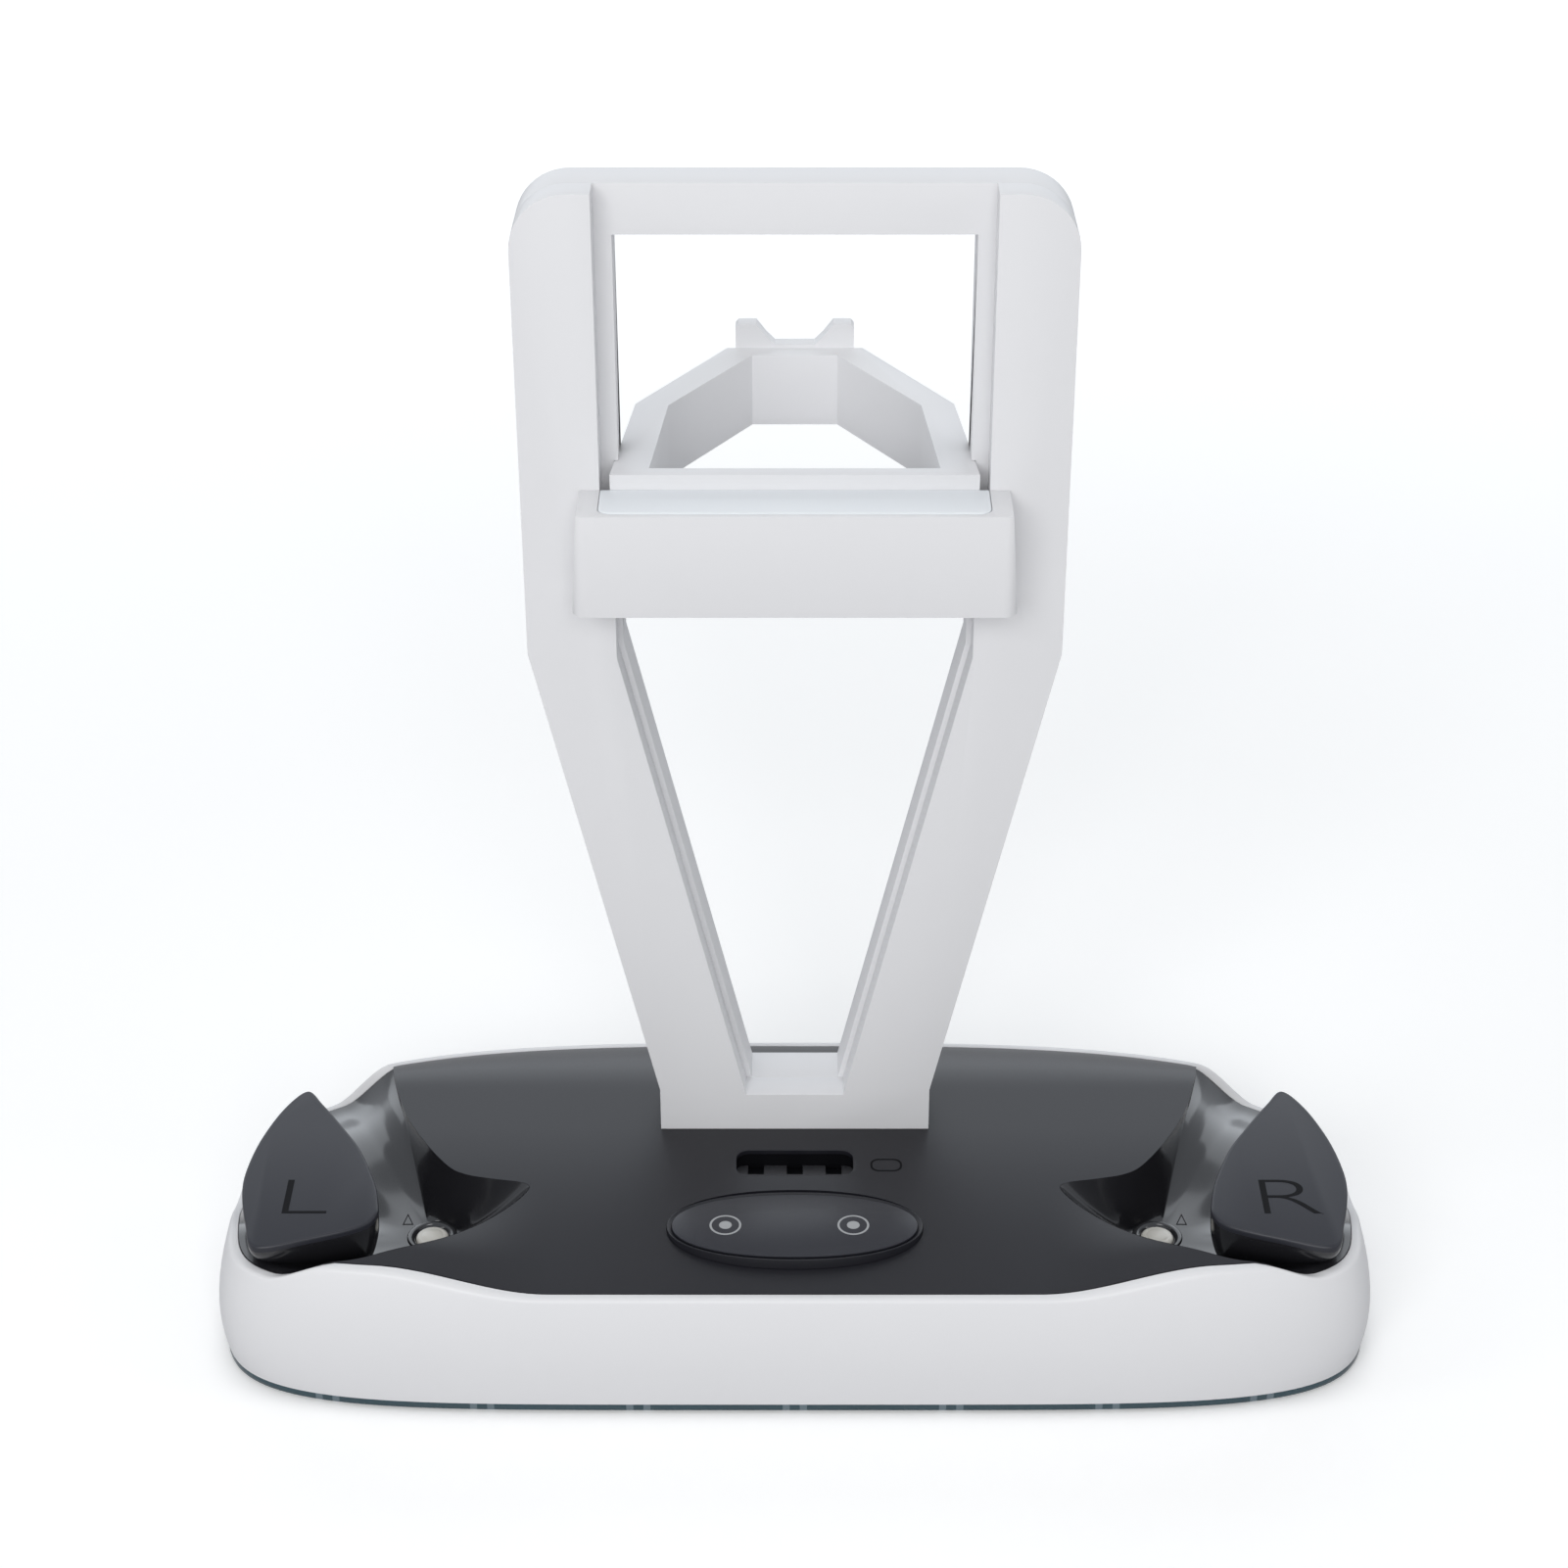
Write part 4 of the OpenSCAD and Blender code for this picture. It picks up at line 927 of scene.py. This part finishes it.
class DOCK_OT_pins(bpy.types.Operator):
    """Models the charging pins and the collars round them"""

    bl_idname = "dock.pins"
    bl_label = "Pins"

    def execute(self, context):
        top = FLOOR_Z + PIN_UP
        r = PIN_D / 2
        low = FLOOR_Z - 6
        dome = [(0, top), (r * 0.25, top - 0.02), (r * 0.5, top - 0.14), (r * 0.62, top - 0.3), (r * 0.66, top - 0.42),
                (r * 0.7, top - 0.42), (r * 0.78, top - 0.4), (r * 0.9, top - 0.6), (r * 0.97, top - 0.85),
                (r, top - 1.15), (r, low), (0, low)]
        both_sides(turned(dome, 64, PIN_X, PIN_Y), "charging_pin", contact_white(), "pin", 50)
        lip = COLLAR_UP
        inner, outer = r + FIT, COLLAR_D / 2
        ring = [(inner, low), (inner, FLOOR_Z - 0.3), (inner + 0.5, FLOOR_Z + 0.1), (inner + 0.9, FLOOR_Z + lip),
                (outer - 0.4, FLOOR_Z + lip), (outer - 0.1, FLOOR_Z + lip * 0.7), (outer, FLOOR_Z), (outer, low),
                (inner, low)]
        both_sides(turned(ring, 64, PIN_X, PIN_Y), "pin_collar", gloss_black(), "collar", 50)
        return {"FINISHED"}


class DOCK_OT_upright(bpy.types.Operator):
    """Rounds the edges of the upright's two frames, the arm and its pad"""

    bl_idname = "dock.upright"
    bl_label = "Upright and arm"

    def execute(self, context):
        r = sizes("edge_round")
        softened("upright_front", "front_frame", white_plastic(), r)
        softened("upright_rear", "rear_frame", white_plastic(), r)
        softened("arm_body", "headset_arm", white_plastic(), r)
        softened("arm_pad", "crossbar_pad", soft_grey(), 0.35)
        return {"FINISHED"}


class DOCK_OT_touch(bpy.types.Operator):
    """Models the oval with its rolled rim, its panel and the two printed rings"""

    bl_idname = "dock.touch"
    bl_label = "Touch oval"

    def execute(self, context):
        rim = prism(moved(oval_outline(OVAL_W, OVAL_D), 0, OVAL_Y), OVAL_Z - 8, OVAL_Z)
        top = [f for f in rim.faces if f.normal.z > 0.9]
        bmesh.ops.inset_region(rim, faces=top, thickness=(BEZEL_W + FIT * 0.6) * MM, use_even_offset=True)
        bmesh.ops.translate(rim, verts=list({v for f in top for v in f.verts}), vec=(0, 0, -0.7 * MM))
        soften_edges(rim, 0.35, 3, 50)
        finish_piece(rim, "oval_rim", deck_black(), ["touch_bezel"])
        inset = 2 * BEZEL_W + 4 * FIT
        panel = prism(moved(oval_outline(OVAL_W - inset, OVAL_D - inset), 0, OVAL_Y), OVAL_Z - 0.65, OVAL_Z)
        soften_edges(panel, 0.2, 2, 50)
        finish_piece(panel, "oval_panel", pad_black(), ["touch_panel"])
        for name, x in (("left", -17.9), ("right", 15.1)):
            self.ring(name, x)
        return {"FINISHED"}

    def ring(self, side, x):
        """A printed ring round a dot, in place of a symbol."""
        outer = sizes("ring_size") / 2
        width = 0.55
        z = OVAL_Z + 0.015
        profile = [(outer - width, z), (outer, z), (outer, z - 0.03), (outer - width, z - 0.03), (outer - width, z)]
        band = turned(profile, 72, x, OVAL_Y)
        finish_piece(band, f"printed_ring_{side}", mark_print())
        dot = turned([(0, z), (outer * 0.4, z), (outer * 0.4, z - 0.03), (0, z - 0.03)], 48, x, OVAL_Y)
        finish_piece(dot, f"printed_dot_{side}", mark_print())


class DOCK_OT_sockets(bpy.types.Operator):
    """Rounds the ramp in the recess, and lays painted shade as dark sheets on the recess's walls and in its three
    square sockets
    """

    bl_idname = "dock.sockets"
    bl_label = "Sockets"

    def execute(self, context):
        w, d, low = TRAY_W - 2 * FIT, TRAY_D - 2 * FIT, DECK_Z - 10.5
        bm = prism(moved(rounded_outline(w, d, TRAY_R - FIT), 0, TRAY_Y), low, DECK_Z + 1)
        ramp = finish_piece(bm, "socket_ramp", ramp_painted_lighter(), ["socket_block"])
        cuts = [self.above_ramp(w + 2, d + 2, 0, 0)]
        cuts += [self.above_ramp(SOCKET_S, d, k * SOCKET_PITCH, 3.4, 1.2) for k in (-1, 0, 1)]
        carve(ramp, cuts)
        # A dark sheet round the walls of the recess, from just under the deck's edge down: painted shade
        outline = moved(rounded_outline(TRAY_W - FIT, TRAY_D - FIT, TRAY_R), 0, TRAY_Y)
        wall = surface(len(outline), 1, lambda i, j: (*outline[i % len(outline)], DECK_Z - 1.3 - 8 * j))
        weld(wall)
        outward(wall)
        finish_piece(wall, "recess_lining", socket_black())
        # A dark sheet in each socket, lying just under the ramp: painted shade in the holes
        for k, name in ((-1, "left"), (0, "middle"), (1, "right")):
            x = k * SOCKET_PITCH
            shade_sheet = prism(moved(rounded_outline(SOCKET_S - 0.1, d - 1.4, 0.2, 2), x, TRAY_Y + 0.6), low, DECK_Z)
            self.slope(shade_sheet, DECK_Z - 1, 1.1)
            finish_piece(shade_sheet, f"socket_lining_{name}", socket_black())
        return {"FINISHED"}

    def ramp_at(self, y):
        """Height of the ramp, which falls from the deck's level at the front to the back wall."""
        front = TRAY_Y - TRAY_D / 2
        return deck_at(0, front) - RAMP_DROP * clamp((y - front) / TRAY_D, -0.2, 1.2)

    def slope(self, bm, above, sunk):
        """Lays the points over a level on the ramp, sunk by a depth."""
        for v in bm.verts:
            if v.co.z > above * MM:
                v.co.z = (self.ramp_at(v.co.y / MM - SHIFT_Y) - sunk) * MM

    def above_ramp(self, w, d, x, sunk, front=0.0):
        """Cutter that takes away what stands over the ramp, or over a slot sunk into it."""
        bm = prism(moved([(-w / 2, front - d / 2), (w / 2, front - d / 2), (w / 2, d / 2 + 1), (-w / 2, d / 2 + 1)],
                         x, TRAY_Y), 0, DECK_Z + 9)
        for v in bm.verts:
            if v.co.z < MM:
                v.co.z = (self.ramp_at(v.co.y / MM - SHIFT_Y) - sunk) * MM
        return bm


class DOCK_OT_underside(bpy.types.Operator):
    """Gives the plate, the feet and the works inside their finishes"""

    bl_idname = "dock.underside"
    bl_label = "Underside and works"

    def execute(self, context):
        plate = prism([outline_at(i * 0.75, PLATE_Z, 0) for i in range(480)], FEET_H, PLATE_Z)
        soften_edges(plate, 0.3, 2, 50)
        finish_piece(plate, "clear_base_plate",
                     material("edge_lit_plate",
                              lambda: edge_lit("edge_lit_plate", (0.02, 0.05, 0.065), (0.16, 0.18, 0.2))),
                     ["light_plate"])
        softened("rubber_feet", "soft_feet",
                 material("foot_rubber", lambda: moulded("foot_rubber", (0.03, 0.03, 0.032), 0.75, 900.0, 0.3)), 0.2, 2)
        steel = material("plated_steel", lambda: brushed("plated_steel", (0.55, 0.55, 0.57)))
        board = material("green_board", lambda: solder_masked("green_board", (0.02, 0.12, 0.05)))
        inside = {
            white_plastic(): ["bottom_cover"],
            steel: ["magnet_left", "magnet_right", "power_socket", "ballast_left", "ballast_right",
                    "base_screws", "foot_screws"],
            board: ["pin_board_left", "pin_board_right", "socket_board", "touch_board", "main_board"],
            contact_white(): ["light_strip"],
        }
        for look, names in inside.items():
            for name in names:
                NODES[name].data.materials.clear()
                NODES[name].data.materials.append(look)
        return {"FINISHED"}


class DOCK_OT_stage(bpy.types.Operator):
    """Sets the floor, the light all round, the soft lights and the camera"""

    bl_idname = "dock.stage"
    bl_label = "Stage"

    def execute(self, context):
        stage = context.scene.dock_stage
        self.floor()
        self.sky(stage.sky)
        self.light("key_light", (-0.2, -1.3, 0.85), (1.2, 0.7), stage.key)
        self.light("back_light", (0, 1.3, 0.65), (2.8, 1.15), stage.back, (0.9, 0.95, 1.0))
        self.light("top_light", (0, 0.02, 1.2), (0.3, 0.3), stage.top)
        self.light("left_light", (-0.9, -0.2, 0.75), (0.25, 0.5), stage.fill)
        self.light("right_light", (0.9, -0.2, 0.75), (0.25, 0.5), stage.fill)
        self.camera(stage.camera_pitch)
        context.scene.view_settings.view_transform = "Standard"
        return {"FINISHED"}

    def floor(self):
        bm = bmesh.new()
        bmesh.ops.create_grid(bm, x_segments=2, y_segments=2, size=6)
        mesh = bpy.data.meshes.new("studio_floor")
        bm.to_mesh(mesh)
        bm.free()
        finish = Finish("floor_white", Base_Color=(1.0, 1.0, 1.0, 1.0), Roughness=0.9, Emission_Strength=1.0)
        away = finish.add("ShaderNodeVectorMath", {"operation": "LENGTH"}, {0: finish.place}, output="Value")
        glow = finish.add("ShaderNodeValToRGB", {"stops": (
            (0.08, (0.11, 0.11, 0.11)), (0.25, (0.25, 0.25, 0.25)), (0.6, (0.62, 0.62, 0.62)))},
            {"Fac": away * 0.25}, output="Color")
        finish.feed("Emission Color", glow)
        finish.dimmed((0.68, 0.68, 0.69))
        mesh.materials.append(finish.material)
        floor = bpy.data.objects.new("studio_floor", mesh)
        bpy.context.scene.collection.objects.link(floor)

    def sky(self, strength):
        world = bpy.data.worlds.new("studio")
        bpy.context.scene.world = world
        world.use_nodes = True
        tree = world.node_tree
        plain = tree.nodes["Background"]
        plain.inputs["Color"].default_value = (0.96, 0.98, 1.0, 1.0)
        plain.inputs["Strength"].default_value = strength
        seen = tree.nodes.new("ShaderNodeBackground")
        seen.inputs["Strength"].default_value = 1.0
        seen.inputs["Color"].default_value = (1, 1, 1, 1)
        mirrored = tree.nodes.new("ShaderNodeBackground")
        mirrored.inputs["Strength"].default_value = 0.72
        mirrored.inputs["Color"].default_value = (0.88, 0.93, 1.0, 1.0)
        path = tree.nodes.new("ShaderNodeLightPath")
        shader = plain.outputs[0]
        for ray, other in (("Is Glossy Ray", mirrored), ("Is Camera Ray", seen)):
            mix = tree.nodes.new("ShaderNodeMixShader")
            tree.links.new(path.outputs[ray], mix.inputs[0])
            tree.links.new(shader, mix.inputs[1])
            tree.links.new(other.outputs[0], mix.inputs[2])
            shader = mix.outputs[0]
        tree.links.new(shader, tree.nodes["World Output"].inputs[0])

    def light(self, name, place, size, power, colour=(1.0, 1.0, 1.0)):
        lamp = bpy.data.lights.new(name, "AREA")
        lamp.shape = "RECTANGLE"
        lamp.size, lamp.size_y = size
        lamp.energy = power
        lamp.color = colour
        holder = bpy.data.objects.new(name, lamp)
        holder.location = place
        toward = Vector((0, 0, 0.1)) - Vector(place)
        holder.rotation_euler = toward.to_track_quat("-Z", "Y").to_euler()
        bpy.context.scene.collection.objects.link(holder)

    def camera(self, pitch):
        sensor, picture = 36.0, 1601.0
        focal_pixels, axis_pixel = 3083.0, 811.5
        camera = bpy.data.cameras.new("camera")
        camera.sensor_width = sensor
        camera.lens = focal_pixels / picture * sensor
        camera.shift_x = (picture / 2 - axis_pixel) / picture
        camera.clip_start, camera.clip_end = 0.01, 20
        holder = bpy.data.objects.new("camera", camera)
        holder.location = to_row(0, -658, 519)
        holder.rotation_euler = (math.pi / 2 - pitch, 0, 0)
        bpy.context.scene.collection.objects.link(holder)
        bpy.context.scene.camera = holder


OPERATORS = (DOCK_OT_shell, DOCK_OT_deck, DOCK_OT_docks, DOCK_OT_wings, DOCK_OT_pins, DOCK_OT_upright,
             DOCK_OT_touch, DOCK_OT_sockets, DOCK_OT_underside, DOCK_OT_stage)
GROUPS = {"dock_look": DockLook, "dock_sizes": DockSizes, "dock_stage": DockStage}


class DOCK_PT_panel(bpy.types.Panel):
    """Lists the steps that dress the dock"""

    bl_label = "Charging dock"
    bl_idname = "DOCK_PT_panel"
    bl_space_type = "VIEW_3D"
    bl_region_type = "UI"
    bl_category = "Charging dock"

    def draw(self, context):
        for name in GROUPS:
            box = self.layout.box()
            group = getattr(context.scene, name)
            for key in group.bl_rna.properties.keys():
                if key not in ("rna_type", "name"):
                    box.prop(group, key)
        for step in OPERATORS:
            self.layout.operator(step.bl_idname)


def register():
    for group in GROUPS.values():
        bpy.utils.register_class(group)
    for name, group in GROUPS.items():
        setattr(bpy.types.Scene, name, bpy.props.PointerProperty(type=group))
    for item in (*OPERATORS, DOCK_PT_panel):
        bpy.utils.register_class(item)


def unregister():
    for item in (DOCK_PT_panel, *reversed(OPERATORS)):
        bpy.utils.unregister_class(item)
    for name, group in GROUPS.items():
        delattr(bpy.types.Scene, name)
        bpy.utils.unregister_class(group)


def main():
    register()
    bpy.ops.dock.shell()
    bpy.ops.dock.deck()
    bpy.ops.dock.docks()
    bpy.ops.dock.wings()
    bpy.ops.dock.pins()
    bpy.ops.dock.upright()
    bpy.ops.dock.touch()
    bpy.ops.dock.sockets()
    bpy.ops.dock.underside()
    bpy.ops.dock.stage()


if __name__ == "__main__":
    main()
